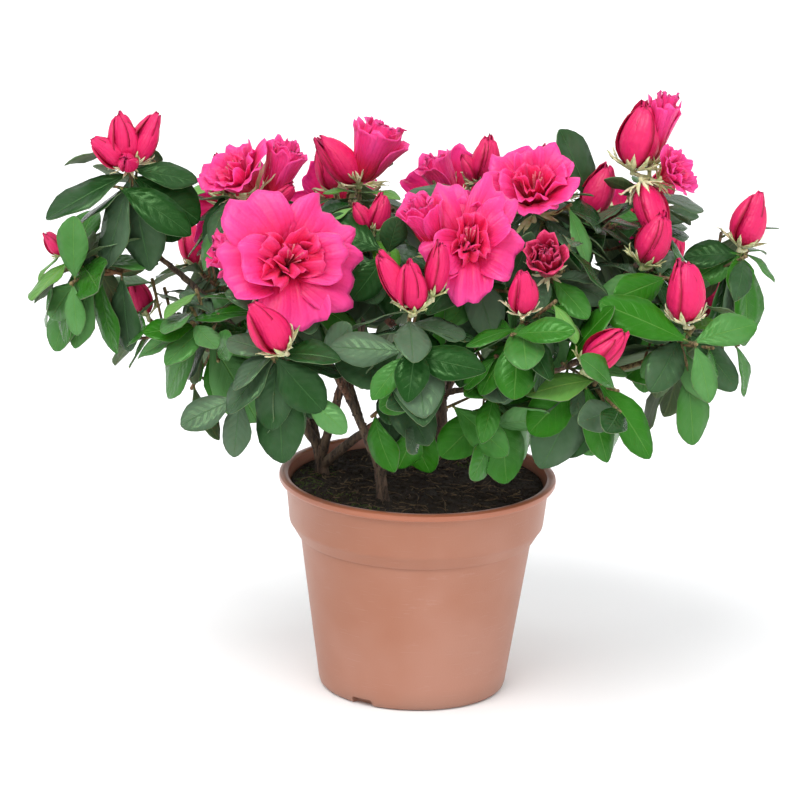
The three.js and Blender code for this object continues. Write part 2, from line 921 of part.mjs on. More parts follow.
// Each bough is cut clear of the stems and of the boughs that come before it.
function limbPieces() {
  const pieces = stems.map((row) => ({ name: row.name, limb: stemLimb(row) }));
  for (const bough of boughs) {
    const parent = pieces.find((piece) => piece.name === bough.parent).limb;
    pieces.push({ name: bough.name, limb: boughLimb(bough, parent) });
  }
  const rooms = [];
  for (const [order, piece] of pieces.entries()) {
    piece.solid = solidOf(piece.limb.geometry());
    if (order >= stems.length) {
      piece.solid = largest(piece.solid.subtract(Manifold.union(rooms))).simplify(shortestEdge);
    }
    piece.room = roomRound(piece.limb);
    rooms.push(piece.room);
  }
  return pieces;
}

function sprayRows(pieces) {
  const rows = [];
  for (const bough of boughs) {
    const fork = forkOf(bough);
    const boughRoom = pieces.find((piece) => piece.name === bough.name).room;
    for (const row of bough.sprays) {
      const tip = vec(...row.tip);
      const bend = tip.clone().addScaledVector(heading(...row.lean), -tipBend * tip.distanceTo(fork));
      const axis = tip.clone().lerp(bend, 0.5).sub(fork).normalize();
      const facing = THREE.MathUtils.radToDeg(Math.atan2(tip.y, tip.x));
      const seed = growthSeed + rows.length;
      const usual = { room: 0, seed, facing };
      rows.push({ ...usual, ...row, tip, bend, fork, axis, boughRoom, bough: bough.name });
    }
  }
  return rows;
}

addPiece("pot", potSolid(), "pot");
addPiece("soil", soilSolid(), "soil");

const limbs = limbPieces();
for (const piece of limbs) addPiece(piece.name, piece.solid, "bark");

const limbPoints = limbs.flatMap((piece) => piece.limb.samples());
const sprays = sprayRows(limbs);
for (const spray of sprays) addPiece(spray.name, spraySolid(spray, sprays, limbPoints), "leaf");

export default azalea;
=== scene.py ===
"""Potted azalea shrub: a pot, soil, stems and boughs, and sprays of twigs, leaves and blooms."""
import functools
import math

import bpy
import numpy as np
from mathutils import Matrix, Vector, noise


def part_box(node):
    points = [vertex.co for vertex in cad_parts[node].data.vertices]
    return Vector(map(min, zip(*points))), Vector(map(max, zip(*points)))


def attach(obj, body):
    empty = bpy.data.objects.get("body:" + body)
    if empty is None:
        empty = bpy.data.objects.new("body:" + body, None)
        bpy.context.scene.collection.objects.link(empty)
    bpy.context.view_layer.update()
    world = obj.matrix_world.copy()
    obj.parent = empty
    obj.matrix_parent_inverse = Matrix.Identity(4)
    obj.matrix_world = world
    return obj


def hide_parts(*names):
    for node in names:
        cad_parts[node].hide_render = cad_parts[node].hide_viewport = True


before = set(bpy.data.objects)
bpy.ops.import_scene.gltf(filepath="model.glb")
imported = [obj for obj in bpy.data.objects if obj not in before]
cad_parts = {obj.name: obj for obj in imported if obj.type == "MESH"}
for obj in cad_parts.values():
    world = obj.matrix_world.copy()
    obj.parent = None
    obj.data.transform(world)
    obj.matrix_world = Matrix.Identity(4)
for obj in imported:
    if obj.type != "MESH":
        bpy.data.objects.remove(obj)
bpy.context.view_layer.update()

bl_info = {
    "name": "Potted azalea",
    "version": (1, 0, 0),
    "blender": (4, 5, 0),
    "location": "3D View > Sidebar > Azalea",
    "description": "Builds a small potted azalea shrub with double flowers",
    "category": "Add Mesh",
}

MM = 0.001
UP = np.array([0.0, 0.0, 1.0])

# The growth rule of the plant, in millimetres and degrees
SOIL_TOP = 95.5
FIT_GAP = 0.3
POT_TOP, POT_REACH = 105.0, 66.5
FLARE_HEIGHT, FLARE_FALL = 5.0, 3.0
# The fewest steps of a limb and how long each is, and how far apart its clearance is tested
STEM_STEPS, BOUGH_STEPS = (5, 6), (3, 20)
SAMPLE_STEP = 2.5
BOUGH_START, BOUGH_END, BOUGH_SHARE, BOUGH_ARCH = 2.3, 1.5, 0.92, 0.14
TWIG_START, TWIG_END = 1.35, 1.0
SIDE_TWIG_RADII = (0.5, 0.9)
# A side twig: ranges for its place along the twig, its angle and its length
SIDE_TWIG = ((0.35, 0.68), (38, 58), (16, 24))
TWIG_TRIES, TWIG_LIFT, TWIG_CLEARANCE = 8, 0.15, 3.6
FORK_REACH, TIP_BEND = 36.0, 0.4
CROWN_CORE = np.array([0.0, 0.0, 118.0])
GOLDEN_ANGLE, FACING_PULL, LEAF_SAG = 137.5, 38.0, 0.42
# How far the first leaf is from the tip of a twig, how far on each next one is, and the share
# of the twig that stays bare at its foot
FIRST_LEAF, LEAF_PITCH, LAST_PLACE = 3.4, 2.8, 0.05
LEAF_WIDTH_SHARE, LEAF_THICKNESS, LEAF_FOLD = 0.29, 1.1, 0.16
YOUNG_ANGLE, OLD_ANGLE, ANGLE_SPREAD = 58.0, 132.0, 8.0
YOUNG_SHARE, SIDE_LEAF_SHARE = 0.66, 0.86
MAIN_LEAVES, SIDE_LEAVES = 8, 5
LEAF_SHARES = (1, 0.88, 0.76, 0.66)
LEAF_TURNS = (0, 22, -22, 44, -44)
LEAF_DROOPS, LEAF_SIZES, LEAF_LIFT = (0.1, 0.3), (0.88, 1.06), 0.7
# Corners of the hull of a leaf, along it, across and up or down, and the share along a leaf
# beyond which nothing may cross it
LEAF_CORNERS = ((0, 0, 0), (0.54, 1, 0), (0.54, -1, 0), (1, 0.46, 0), (1, -0.46, 0), (0.42, 0, 1),
                (0.42, 0, -1))
CROSS_FROM = 0.15
LIMB_CLEARANCE, LIMB_RISE, BLOOM_CLEARANCE = 1, 1.5, 0.5
NEAR_LIMBS = 110.0
BLOOM_SHARES, BLOOM_SPINS = (1, 0.9, 0.8, 0.7), (0, 60)

# What only the finished plant has: finer twigs, the leaves on them and leaves set one by one
FINE_TWIGS, FINE_LEAVES, FINE_OVERREACH = 4, 5, 6.0
FINE_TWIG = ((0.1, 0.85), (35, 75), (15, 30))
FINE_LEAF_SHARE, FINE_PITCH, FINE_TURN = 0.72, 4.2, 70
LEAF_CLEARANCE, FINE_CLEARANCE = 1.8, 0.9
FULL_LEAF, LONGEST_LEAF = 1.2, 49.0
SET_DROOP, SET_AGE, SET_STEP, SHOOT_BEND = 0.12, 0.9, 0.08, 0.1
TO_VIEWER = np.array([0.0, -0.8, 0.5])
# A leaf rooted this near the middle of a twig is carried by it
NEAR_TWIG, TWIG_SAMPLES = 3.0, 25
# A flower smaller than this, unless it looks to the back, still stands as a cup
CUP_BELOW, CUP_SHARE, TO_BACK = 47, 0.87, 0.4
# A bloom starts this far beyond the tip of its twig, and leaves may reach in under its neck
BLOOM_FOOT, BLOOM_NECK = 3.0, 0.1
# The share along a leaf where its middle is taken
LEAF_MIDDLE = 0.55
# The share of green leaves: least, rise, the height where it starts and the depth it takes
GREEN_LEAST, GREEN_RISE, GREEN_BELOW, GREEN_DEPTH = 0.15, 0.75, 222.0, 60
# Ranges for a turn and for the phase of a wave, in radians
TURNS, PHASES = (0, 6.283), (0, 6.3)
FINE_SEED, SOIL_SEED, LEAF_SEED, BLOOM_SEED = 500, 11, 23, 31

# Sprays with more green leaves than their height gives, or with fewer
GREENER = {
    "left_crest": -0.3, "left_tip": 0.4, "left_low": 0.2, "left_side": 0.25, "front_left": -0.8,
    "low_middle": -0.35, "front_middle": -0.4, "right_tip": 0.45, "right_side": 0.2,
    "right_bud": -0.9, "front_right": 0.1, "top_right_middle": 0.2,
}

# Where the photograph shows sky through the crown, as seen from its camera: the place across,
# the place up and the radius
VIEW_TILT = math.radians(16.79)
OPENINGS = (
    (-126, 140, 13), (-105, 137, 11), (-128, 173, 9), (-142, 147, 6), (-116, 142, 8), (-65, 121, 6),
    (94, 127.5, 5), (-125, 163, 7), (-118, 150, 7), (-33, 137, 13), (-50, 119, 8), (-23, 126, 8),
    (19, 130, 9), (35, 140, 5), (-67, 112, 9), (94, 114, 10), (131, 221, 14), (-45, 244, 8),
    (-100, 250, 10), (167, 203, 9), (-148, 228, 6),
)

# Blooms: sides, lobes, middle height, ball radius, rings of radius, height, rise and lobe depth
BLOOM_KINDS = {
    "bud": (5, 5, (4, 0.45), 0.3, ((0.27, 4, 0.3, 0), (0.23, 4, 0.66, 0.08), (0, 3, 1, 0))),
    "half": (8, 4, (4, 0.45), 0.3, ((0.2, 4, 0.3, 0), (0.36, 4, 0.92, 0.22), (0, 4, 0.8, 0))),
    "flower": (10, 5, (8, 0.15), 0.4, (
        (0.1, 6, 0, 0), (0.46, 6, 0.13, 0.1), (0.22, 9, 0.16, 0.2), (0, 8, 0.06, 0))),
}

# Stems: foot, top, radius at the foot and at the top, spread of the foot
STEMS = {
    "left_stem": ((-45, 13), (-48, 12, 113), 3.3, 2.7, 1.6),
    "front_stem": ((-16, -29), (-19, -27, 117), 3.1, 2.6, 1.8),
    "back_stem": ((11, 42), (9, 36, 146), 3.4, 2.5, 1.5),
    "right_stem": ((42, 10), (46, 2, 134), 3.0, 2.4, 1.4),
}

# A spray without anything of its own. Where the table of boughs gives more: the way its leaves
# face, the room it takes from its neighbours, its seed, how many leaves are fresh; and, in the
# finished plant alone, leaves set one by one (place along the twig, bearing, tilt, length) and shoots
# (place along the twig, bearing, tilt, length, and the bearing, tilt and length of each leaf)
PLAIN_SPRAY = {"facing": None, "room": 0, "seed": None, "fresh": 0, "shoots": (), "set_leaves": ()}


def spray(name, tip, lean, leaf, *blooms, **more):
    """One mass of leaves: its tip, lean there, leaf length and blooms, and what sets it apart."""
    return {**PLAIN_SPRAY, "name": name, "tip": tip, "lean": lean, "leaf": leaf, "blooms": blooms, **more}


# Boughs: name, parent, where they leave it, and the sprays at their ends. A bloom is its kind,
# size, bearing and tilt
BOUGHS = (
    ("left_bough", "left_stem", 0.9, (
        spray("left_crest", (-137, -10, 250), (180, 8), 43, ("bud", 23, 175, 12), ("bud", 20, 190, 52),
              ("half", 24, 5, 28), ("small", 15, 265, 62), facing=250, set_leaves=((0.93, 192, 115, 45),
              (0.9, 221, 159, 45), (0.88, 313, 162, 45), (0.9, 350, 117, 38), (0.86, 4, 140, 38),
              (0.97, 350, 94, 32))),
        spray("left_tip", (-166, -6, 204), (185, 35), 38, ("small", 13, 170, 40), facing=240, fresh=2,
              shoots=((0.7, 350, 96, 17, ((300, 166, 37),)),), set_leaves=((0.5, 302, 170, 39),
              (0.7, 186, 156, 44), (0.6, 221, 161, 38))),
    )),
    ("left_low_bough", "left_bough", 0.3, (
        spray("left_low", (-106, -42, 186), (215, 42), 38, fresh=1, set_leaves=((0.9, 199, 93, 25),
              (0.8, 172, 150, 38))),
        spray("left_side", (-128, 22, 168), (170, 50), 37, ("bud", 19, 160, 25)),
    )),
    ("left_back_bough", "left_stem", 0.7, (
        spray("back_left_low", (-106, 66, 180), (145, 45), 39, ("bud", 22, 140, 25)),
        spray("back_left_high", (-90, 46, 222), (130, 20), 39, ("flower", 46, 120, 45),
              ("bud", 20, 200, 20), fresh=1),
    )),
    ("left_inner_bough", "left_stem", 0.52, (
        spray("top_left_middle", (-31, 8, 239), (90, 8), 36, ("bud", 24, 185, 30),
              ("flower", 42, 45, 30), fresh=2),
        spray("middle_small", (-24, -35, 228), (270, 15), 32, ("bud", 17, 5, 14),
              ("small", 14, 180, 30), fresh=2),
    )),
    ("low_bough", "left_stem", 0.3, (
        spray("front_low", (34, -72, 160), (285, 62), 39, seed=44, set_leaves=((0.8, 196, 141, 35),
              (0.85, 341, 161, 39))),
        spray("front_right", (45, -92, 207), (275, 25), 37, ("bud", 22, 265, 16), fresh=1),
    )),
    ("front_left_bough", "front_stem", 0.9, (
        spray("front_left", (-68, -90, 186), (255, 35), 42, ("bud", 25, 195, 42),
              shoots=((0.8, 165, 140, 28, ((192, 108, 29), (249, 164, 29))),),
              set_leaves=((0.8, 257, 166, 34), (0.9, 340, 136, 34))),
        spray("big_flower", (-66, -60, 219), (262, 25), 39, ("flower", 57, 288, 60),
              ("half", 28, 185, 74), room=12, fresh=1),
    )),
    ("front_right_bough", "front_stem", 0.66, (
        spray("low_middle", (-12, -62, 160), (262, 55), 40, set_leaves=((0.9, 238, 165, 26),)),
        spray("front_middle", (-6, -95, 207), (270, 22), 43, ("bud", 22, 190, 28), ("bud", 24, 265, 18),
              ("bud", 26, 355, 18), fresh=1),
    )),
    ("top_left_bough", "front_left_bough", 0.3, (
        spray("top_left", (-75, -22, 236), (220, 10), 37, ("flower", 38, 215, 42), ("half", 27, 5, 16),
              ("small", 16, 350, 50)),
    )),
    ("centre_bough", "back_stem", 0.74, (
        spray("middle_flower", (20, -62, 224), (275, 15), 37, ("flower", 52, 285, 52),
              ("half", 27, 70, 14), ("half", 24, 188, 48), room=12),
        spray("top_right_middle", (25, 2, 243), (60, 10), 34, ("bud", 21, 355, 8),
              ("small", 14, 190, 30), fresh=2, set_leaves=((0.85, 185, 84, 33), (0.75, 205, 103, 31))),
    )),
    ("back_left_bough", "back_stem", 0.84, (
        spray("back_middle_left_low", (-60, 106, 172), (118, 45), 39, ("bud", 23, 110, 20), seed=43),
        spray("back_middle_left_high", (-42, 72, 218), (110, 20), 38, ("flower", 44, 105, 48),
              ("bud", 21, 200, 22)),
    )),
    ("back_centre_bough", "back_stem", 0.94, (
        spray("back_middle_low", (2, 126, 170), (88, 45), 40, ("bud", 22, 70, 30)),
        spray("back_middle_high", (12, 86, 216), (80, 18), 38, ("flower", 50, 85, 50),
              ("half", 25, 190, 32), room=4, fresh=2, set_leaves=((0.9, 262, 72, 35),
              (0.8, 300, 84, 33), (0.75, 228, 84, 34), (0.6, 275, 96, 33))),
    )),
    ("back_right_bough", "back_stem", 0.64, (
        spray("back_middle_right_low", (64, 110, 174), (60, 45), 39, ("bud", 24, 60, 25)),
        spray("back_middle_right_high", (62, 66, 220), (65, 18), 38, ("bud", 22, 20, 30),
              ("bud", 24, 110, 30)),
    )),
    ("right_bough", "right_stem", 0.92, (
        spray("right_crest", (103, -5, 251), (10, 8), 40, ("bud", 31, 165, 22), ("half", 34, 15, 18),
              ("flower", 36, 345, 58), ("half", 24, 265, 88), facing=270, room=6),
        spray("right_tip", (150, 0, 216), (0, 20), 39, ("bud", 26, 10, 18), facing=290,
              set_leaves=((0.9, 347, 167, 44), (0.75, 286, 164, 31), (0.7, 251, 174, 40),
              (0.95, 193, 114, 29), (0.9, 190, 86, 27))),
    )),
    ("right_back_bough", "right_stem", 0.78, (
        spray("back_right_low", (112, 68, 180), (35, 45), 39, ("bud", 22, 40, 30), fresh=2),
        spray("back_right_high", (106, 44, 222), (35, 18), 38, ("flower", 44, 55, 50),
              ("bud", 22, 330, 24)),
    )),
    ("right_front_bough", "right_stem", 0.62, (
        spray("right_front", (80, -88, 178), (285, 40), 42, ("bud", 22, 350, 36), fresh=3,
              shoots=((0.85, 190, 100, 7, ((262, 141, 16), (198, 126, 33), (200, 157, 45),
              (332, 159, 39))),), set_leaves=((0.9, 349, 136, 44),)),
        spray("right_side", (124, -58, 195), (320, 30), 42, ("bud", 27, 20, 10), seed=54, fresh=2,
              shoots=((0.8, 330, 160, 13, ((311, 168, 38),)),), set_leaves=((0.8, 201, 138, 25),
              (0.92, 197, 84, 27), (0.9, 350, 129, 35), (0.7, 335, 140, 31))),
    )),
    ("right_middle_bough", "right_bough", 0.32, (
        spray("right_upper", (105, -26, 214), (300, 18), 38, ("bud", 24, 20, 16)),
        spray("right_bud", (79, 15, 227), (300, 8), 37, ("bud", 26, 15, 18),
              shoots=((0.95, 190, 14, 6, ((176, 21, 39),)),)),
    )),
    ("dark_flower_bough", "right_stem", 0.7, (
        spray("dark_flower", (59, -60, 218), (280, 25), 37, ("half", 23, 265, 52)),
        spray("centre_right", (55, -24, 240), (300, 10), 36, ("flower", 46, 280, 34), room=8),
    )),
    ("right_low_bough", "right_back_bough", 0.3, (
        spray("right_low", (132, 26, 172), (20, 50), 38, ("bud", 20, 20, 25)),
    )),
)

# Blooms that the finished plant holds as the photograph does, by spray and order: kind, size,
# bearing, tilt, shift from the twig's tip, and the shares of the width across and in depth
POSES = {
    ("left_crest", 2): ("bud", 25, 5, 24, (1, 2, 0), (0.8, 1)),
    ("top_left_middle", 0): ("bud", 28, 185, 40, (0, 0, 0), (0.85, 0.85)),
    ("top_left_middle", 1): ("half", 28, 10, 20, (0, 0, 0), (1.15, 1.1)),
    ("front_left", 0): ("bud", 27, 195, 36, (7, -3, 1), (1, 1)),
    ("big_flower", 0): ("flower", 59, 286, 62, (1, 0, -2), (1, 1)),
    ("front_middle", 0): ("bud", 28, 190, 34, (2, 0, 4), (0.72, 0.8)),
    ("front_middle", 1): ("bud", 24, 245, 15, (2, -3, 2), (0.95, 0.95)),
    ("front_middle", 2): ("bud", 25, 0, 6, (10, 0, 8), (0.7, 0.8)),
    ("top_left", 0): ("cup", 38, 205, 42, (-3, 0, 6), (1, 1)),
    ("top_left", 1): ("half", 30, 8, 17, (2, 0, -1), (0.8, 0.8)),
    ("middle_flower", 0): ("flower", 54, 275, 54, (-1, 0, 3), (0.74, 0.95)),
    ("middle_flower", 2): ("half", 29, 200, 28, (-11, -6, 3), (0.85, 0.85)),
    ("centre_right", 0): ("cup", 45, 262, 32, (-5, 0, -2), (1, 1)),
    ("dark_flower", 0): ("half", 23, 262, 50, (-2, 0, 0), (1, 1)),
    ("right_crest", 0): ("bud", 31, 20, 10, (-8, 0, 2), (1.05, 1)),
    ("right_crest", 1): ("half", 32, 12, 12, (0, 5, 3), (0.6, 0.8)),
    ("right_crest", 2): ("cup", 25, 335, 58, (3, -4, -1), (1, 1)),
    ("right_crest", 3): ("bud", 30, 300, 140, (-4, -5, 0), (0.9, 0.8)),
    ("right_tip", 0): ("bud", 26, 12, 17, (-4, 0, 0), (1, 1)),
    ("right_side", 0): ("bud", 29, 180, 4, (-4, 0, 0), (1, 1)),
    ("right_front", 0): ("bud", 25, 350, 42, (-7, 0, 3), (1, 1)),
    ("right_upper", 0): ("bud", 25, 10, 20, (-5, -3, 0), (1, 1)),
    ("right_bud", 0): ("bud", 25, 15, 18, (-3, -4, -2), (1, 1)),
    ("back_left_high", 0): ("flower", 42, 110, 80, (5, 0, -8), (1, 1)),
    ("back_middle_left_high", 0): ("flower", 42, 105, 80, (4, 3, -12), (1, 1)),
    ("back_middle_high", 1): ("half", 23, 176, 30, (3, 0, -5), (1, 1)),
    ("back_middle_high", 0): ("flower", 47, 85, 82, (0, 3, -12), (1, 1)),
    ("back_right_high", 0): ("flower", 38, 80, 84, (-15, 4, -10), (1, 1)),
}
# The room that leaves give each kind of bloom: radius and height, as shares of its size
BLOOM_ROOM = {"flower": (0.58, 0.44), "cup": (0.45, 0.5), "half": (0.36, 0.9), "bud": (0.27, 1.0),
              "small": (0.27, 1.0)}


class Dice:
    """A seeded run of numbers, the same on every machine."""

    def __init__(self, seed):
        self.state = 7919 * seed + 101

    def roll(self, low=0.0, high=1.0):
        self.state = self.state * 48271 % 2147483647
        return low + (high - low) * (self.state / 2147483647)


def unit(vector):
    return vector / np.linalg.norm(vector)


def heading(bearing, tilt):
    turn, lean = math.radians(bearing), math.radians(tilt)
    return np.array([math.cos(turn) * math.sin(lean), math.sin(turn) * math.sin(lean), math.cos(lean)])


def place_within(radius, dice):
    """A place in a circle round the middle, each as likely as the next."""
    reach, turn = radius * math.sqrt(dice.roll()), dice.roll(*TURNS)
    return reach * math.cos(turn), reach * math.sin(turn)


def off_axis(axis, turn, angle):
    """A direction at an angle from an axis, turned about it from the side nearest +X."""
    level = UP if abs(axis[1]) > 0.9 else np.array([0.0, 1.0, 0.0])
    side = unit(np.cross(level, axis))
    other = np.cross(axis, side)
    turned, opened = math.radians(turn), math.radians(angle)
    return (axis * math.cos(opened) + side * math.sin(opened) * math.cos(turned)
            + other * math.sin(opened) * math.sin(turned))


class Limb:
    """A planar curve from a start to an end, with a radius along the way."""

    def __init__(self, start, bend, end, steps, radius_at):
        self.points = [np.asarray(point, float) for point in (start, bend, end)]
        self.steps = steps
        self.radius_at = radius_at
        places = self.at(np.linspace(0, 1, 201)[:, None])
        self.length = np.linalg.norm(np.diff(places, axis=0), axis=1).sum()

    def at(self, share):
        start, bend, end = self.points
        return (1 - share) ** 2 * start + 2 * share * (1 - share) * bend + share ** 2 * end

    def axis_at(self, share):
        start, bend, end = self.points
        return unit((1 - share) * (bend - start) + share * (end - bend))

    def middle_at(self, share):
        ring = min(self.steps - 1, math.floor(share * self.steps))
        here, ahead = self.at(ring / self.steps), self.at((ring + 1) / self.steps)
        return here + (ahead - here) * (share * self.steps - ring)

    def samples(self):
        count = math.ceil(self.length / SAMPLE_STEP)
        shares = np.arange(count + 1) / count
        return [(*self.at(share), self.radius_at(share)) for share in shares]


def tapered(start, end):
    return lambda share: start + (end - start) * share


def steps_of(length, fewest, each):
    return max(fewest, round(length / each))


def stem_limb(foot, top, radius, top_radius, flare):
    start = np.array([*foot, SOIL_TOP + FIT_GAP])
    end = np.array(top, float)
    bend = np.array([*foot, (start[2] + end[2]) / 2])
    length = np.linalg.norm(end - start)

    def radius_at(share):
        spread = flare * np.exp(-FLARE_FALL * share * length / FLARE_HEIGHT)
        return radius + (top_radius - radius) * share + spread

    return Limb(start, bend, end, steps_of(length, *STEM_STEPS), radius_at)


def fork_of(sprays):
    middle = np.mean([row["tip"] for row in sprays], axis=0)
    return middle + unit(CROWN_CORE - middle) * FORK_REACH


def bough_limb(parent, leave, sprays):
    start, end = parent.at(leave), fork_of(sprays)
    radius = min(BOUGH_START, BOUGH_SHARE * parent.radius_at(leave))
    length = np.linalg.norm(end - start)
    bend = (start + end) / 2 + UP * BOUGH_ARCH * length
    return Limb(start, bend, end, steps_of(length, *BOUGH_STEPS), tapered(radius, BOUGH_END))


def border_between(row, other):
    """The plane, as a normal and its distance, where two sprays part."""
    share = (row["room"] - other["room"]) / 2
    if row["bough"] == other["bough"]:
        turn = np.cross(row["axis"], other["axis"])
        middle = row["axis"] * (FORK_REACH - share) + other["axis"] * (FORK_REACH + share)
        normal = unit(np.cross(middle, turn))
        return (*normal, -normal @ row["fork"])
    normal = unit(row["tip"] - other["tip"])
    middle = (row["tip"] + other["tip"]) / 2 - normal * share
    return (*normal, -normal @ middle)


def place_on(leaf, share, side):
    drop = leaf["droop"] * leaf["length"] * share ** 2
    local = np.array([share * leaf["length"], side * leaf["half_width"], -drop])
    return leaf["frame"] @ local + leaf["root"]


# Where a leaf is tested: along it against the room of a bloom, along it and across against
# another leaf, and the same against a finished bloom
MIDRIB_SAMPLES = (0.4, 0.7, 1)
ACROSS_SAMPLES = [(share, side) for share in (0.3, 0.5, 0.7, 0.9) for side in (-0.75, 0, 0.75)]
BLOOM_SAMPLES = [(share, side) for share in (0.35, 0.6, 0.85, 1) for side in (-0.6, 0, 0.6)]


class Space:
    """The space of one spray: borders with its neighbours, off the pot and the limbs."""

    def __init__(self, row, others, limb_points):
        self.borders = np.array([border_between(row, other) for other in others])
        near = np.linalg.norm(limb_points[:, :3] - row["tip"], axis=1) < NEAR_LIMBS
        self.places, self.radii = limb_points[near, :3], limb_points[near, 3]
        self.leaves = []
        self.blooms = []
        self.overreach = 0.0
        self.leaf_clearance = LEAF_CLEARANCE

    def holds(self, points):
        points = np.atleast_2d(points)
        off_pot = (points[:, 2] > POT_TOP) | (np.hypot(points[:, 0], points[:, 1]) > POT_REACH)
        inside = points @ self.borders[:, :3].T + self.borders[:, 3] > FIT_GAP / 2 - self.overreach
        return bool(off_pot.all() and inside.all())

    def leaf_meets_limb(self, leaf):
        local = (self.places - leaf["root"]) @ leaf["frame"]
        reach = self.radii + LIMB_CLEARANCE
        rise = local[:, 2] + leaf["droop"] * local[:, 0] ** 2 / leaf["length"]
        return bool(np.any((local[:, 0] > -reach) & (local[:, 0] < leaf["length"] + reach)
                           & (np.abs(local[:, 1]) < leaf["half_width"] + reach)
                           & (np.abs(rise) < reach + LIMB_RISE)))

    def leaves_cross(self, leaf, other):
        points = np.array([place_on(leaf, share, side) for share, side in ACROSS_SAMPLES])
        local = (points - other["root"]) @ other["frame"]
        along = local[:, 0] / other["length"]
        rise = local[:, 2] + other["droop"] * along ** 2 * other["length"]
        return bool(np.any((along > CROSS_FROM) & (along < 1) & (np.abs(local[:, 1]) < other["half_width"])
                           & (np.abs(rise) < self.leaf_clearance)))

    def leaf_meets_bloom(self, leaf):
        points = [place_on(leaf, share, 0) for share in MIDRIB_SAMPLES]
        return any(np.linalg.norm(centre - point) < radius + BLOOM_CLEARANCE
                   for point in points for centre, radius in self.blooms)

    def takes(self, leaf):
        for other in self.leaves:
            if np.linalg.norm(other["root"] - leaf["root"]) > other["length"] + leaf["length"]:
                continue
            if self.leaves_cross(leaf, other) or self.leaves_cross(other, leaf):
                return False
        if self.leaf_meets_bloom(leaf) or self.leaf_meets_limb(leaf):
            return False
        return self.holds(leaf_outline(leaf))


def leaf_outline(leaf):
    points = []
    for along, side, pole in LEAF_CORNERS:
        drop = leaf["droop"] * leaf["length"] * along ** 2
        rise = pole * LEAF_THICKNESS / 2 + LEAF_FOLD * abs(side) * leaf["half_width"] - drop
        points.append((along * leaf["length"], side * leaf["half_width"], rise))
    return np.array(points) @ leaf["frame"].T + leaf["root"]


def leaf_towards(root, ahead, face, length, droop):
    """A leaf that points ahead, with its upper side to the face as far as it can."""
    across = unit(np.cross(face, ahead))
    return {"root": root, "frame": np.column_stack([ahead, across, np.cross(ahead, across)]),
            "length": length, "half_width": length * LEAF_WIDTH_SHARE, "droop": droop}


def grow_leaf(root, axis, turn, angle, length, space, dice):
    droop = dice.roll(*LEAF_DROOPS)
    face = axis * math.sin(math.radians(angle)) + UP * LEAF_LIFT
    for share in LEAF_SHARES:
        for shift in LEAF_TURNS:
            ahead = unit(off_axis(axis, turn + shift, angle) - UP * LEAF_SAG)
            leaf = leaf_towards(root, ahead, face, share * length, droop)
            if space.takes(leaf):
                space.leaves.append(leaf)
                return leaf
    return None


def grow_leaves(twig, count, length, facing, space, dice, pitch=LEAF_PITCH):
    """Leaves round the last stretch of a shoot by the golden angle, the youngest at its tip."""
    turn = dice.roll(0, 360)
    for k in range(count):
        turn += GOLDEN_ANGLE
        drawn = turn - FACING_PULL * math.sin(math.radians(turn - facing))
        along = 1 - (FIRST_LEAF + pitch * k) / twig.length
        age = k / (count - 1)
        angle = YOUNG_ANGLE + (OLD_ANGLE - YOUNG_ANGLE) * age + dice.roll(-ANGLE_SPREAD, ANGLE_SPREAD)
        size = length * (YOUNG_SHARE + (1 - YOUNG_SHARE) * min(1, 2 * age)) * dice.roll(*LEAF_SIZES)
        if along < LAST_PLACE:
            continue
        leaf = grow_leaf(twig.middle_at(along), twig.axis_at(along), drawn, angle, size, space, dice)
        if leaf:
            leaf["age"] = age


def ring_points(kind, size):
    sides, lobes, _, _, rings = BLOOM_KINDS[kind]
    rows = [(0, -1, 0), (1.3, 3, 0)]
    rows += [(radius * size, foot + rise * size, lobed) for radius, foot, rise, lobed in rings]
    turns = np.arange(sides) * 2 * math.pi / sides + math.pi
    points = []
    for radius, height, lobed in rows:
        reach = radius * (1 + lobed * np.cos(lobes * turns))
        points.append(np.column_stack([reach * np.cos(turns), reach * np.sin(turns), turns * 0 + height]))
    return np.vstack(points)


def stood_up(ahead, spin):
    turn = Vector(UP).rotation_difference(Vector(ahead)).to_matrix()
    return np.array(turn @ Matrix.Rotation(math.radians(spin), 3, "Z"))


def grow_bloom(tip, bloom, space, dice):
    kind, full_size, bearing, tilt = bloom
    spin = dice.roll(*BLOOM_SPINS)
    ahead = heading(bearing, tilt)
    frame_of_bloom = stood_up(ahead, spin)
    for share in BLOOM_SHARES:
        size = share * full_size
        if kind != "small" and not space.holds(ring_points(kind, size) @ frame_of_bloom.T + tip):
            continue
        _, _, middle, ball, _ = BLOOM_KINDS.get(kind, BLOOM_KINDS["bud"])
        space.blooms.append((tip + ahead * (middle[0] + middle[1] * size), ball * size))
        return {"kind": kind, "size": size, "frame": frame_of_bloom, "root": tip}
    return None


def side_twig(parent, space, dice, along, angle, length):
    for _ in range(TWIG_TRIES):
        share = dice.roll(*along)
        start = parent.middle_at(share)
        ahead = off_axis(parent.axis_at(share), dice.roll(0, 360), dice.roll(*angle)) + UP * TWIG_LIFT
        end = start + unit(ahead) * dice.roll(*length)
        clear = np.linalg.norm(space.places - end, axis=1) > space.radii + TWIG_CLEARANCE
        if space.holds(end) and clear.all():
            return Limb(start, (start + end) / 2, end, 1, tapered(*SIDE_TWIG_RADII))
    return None


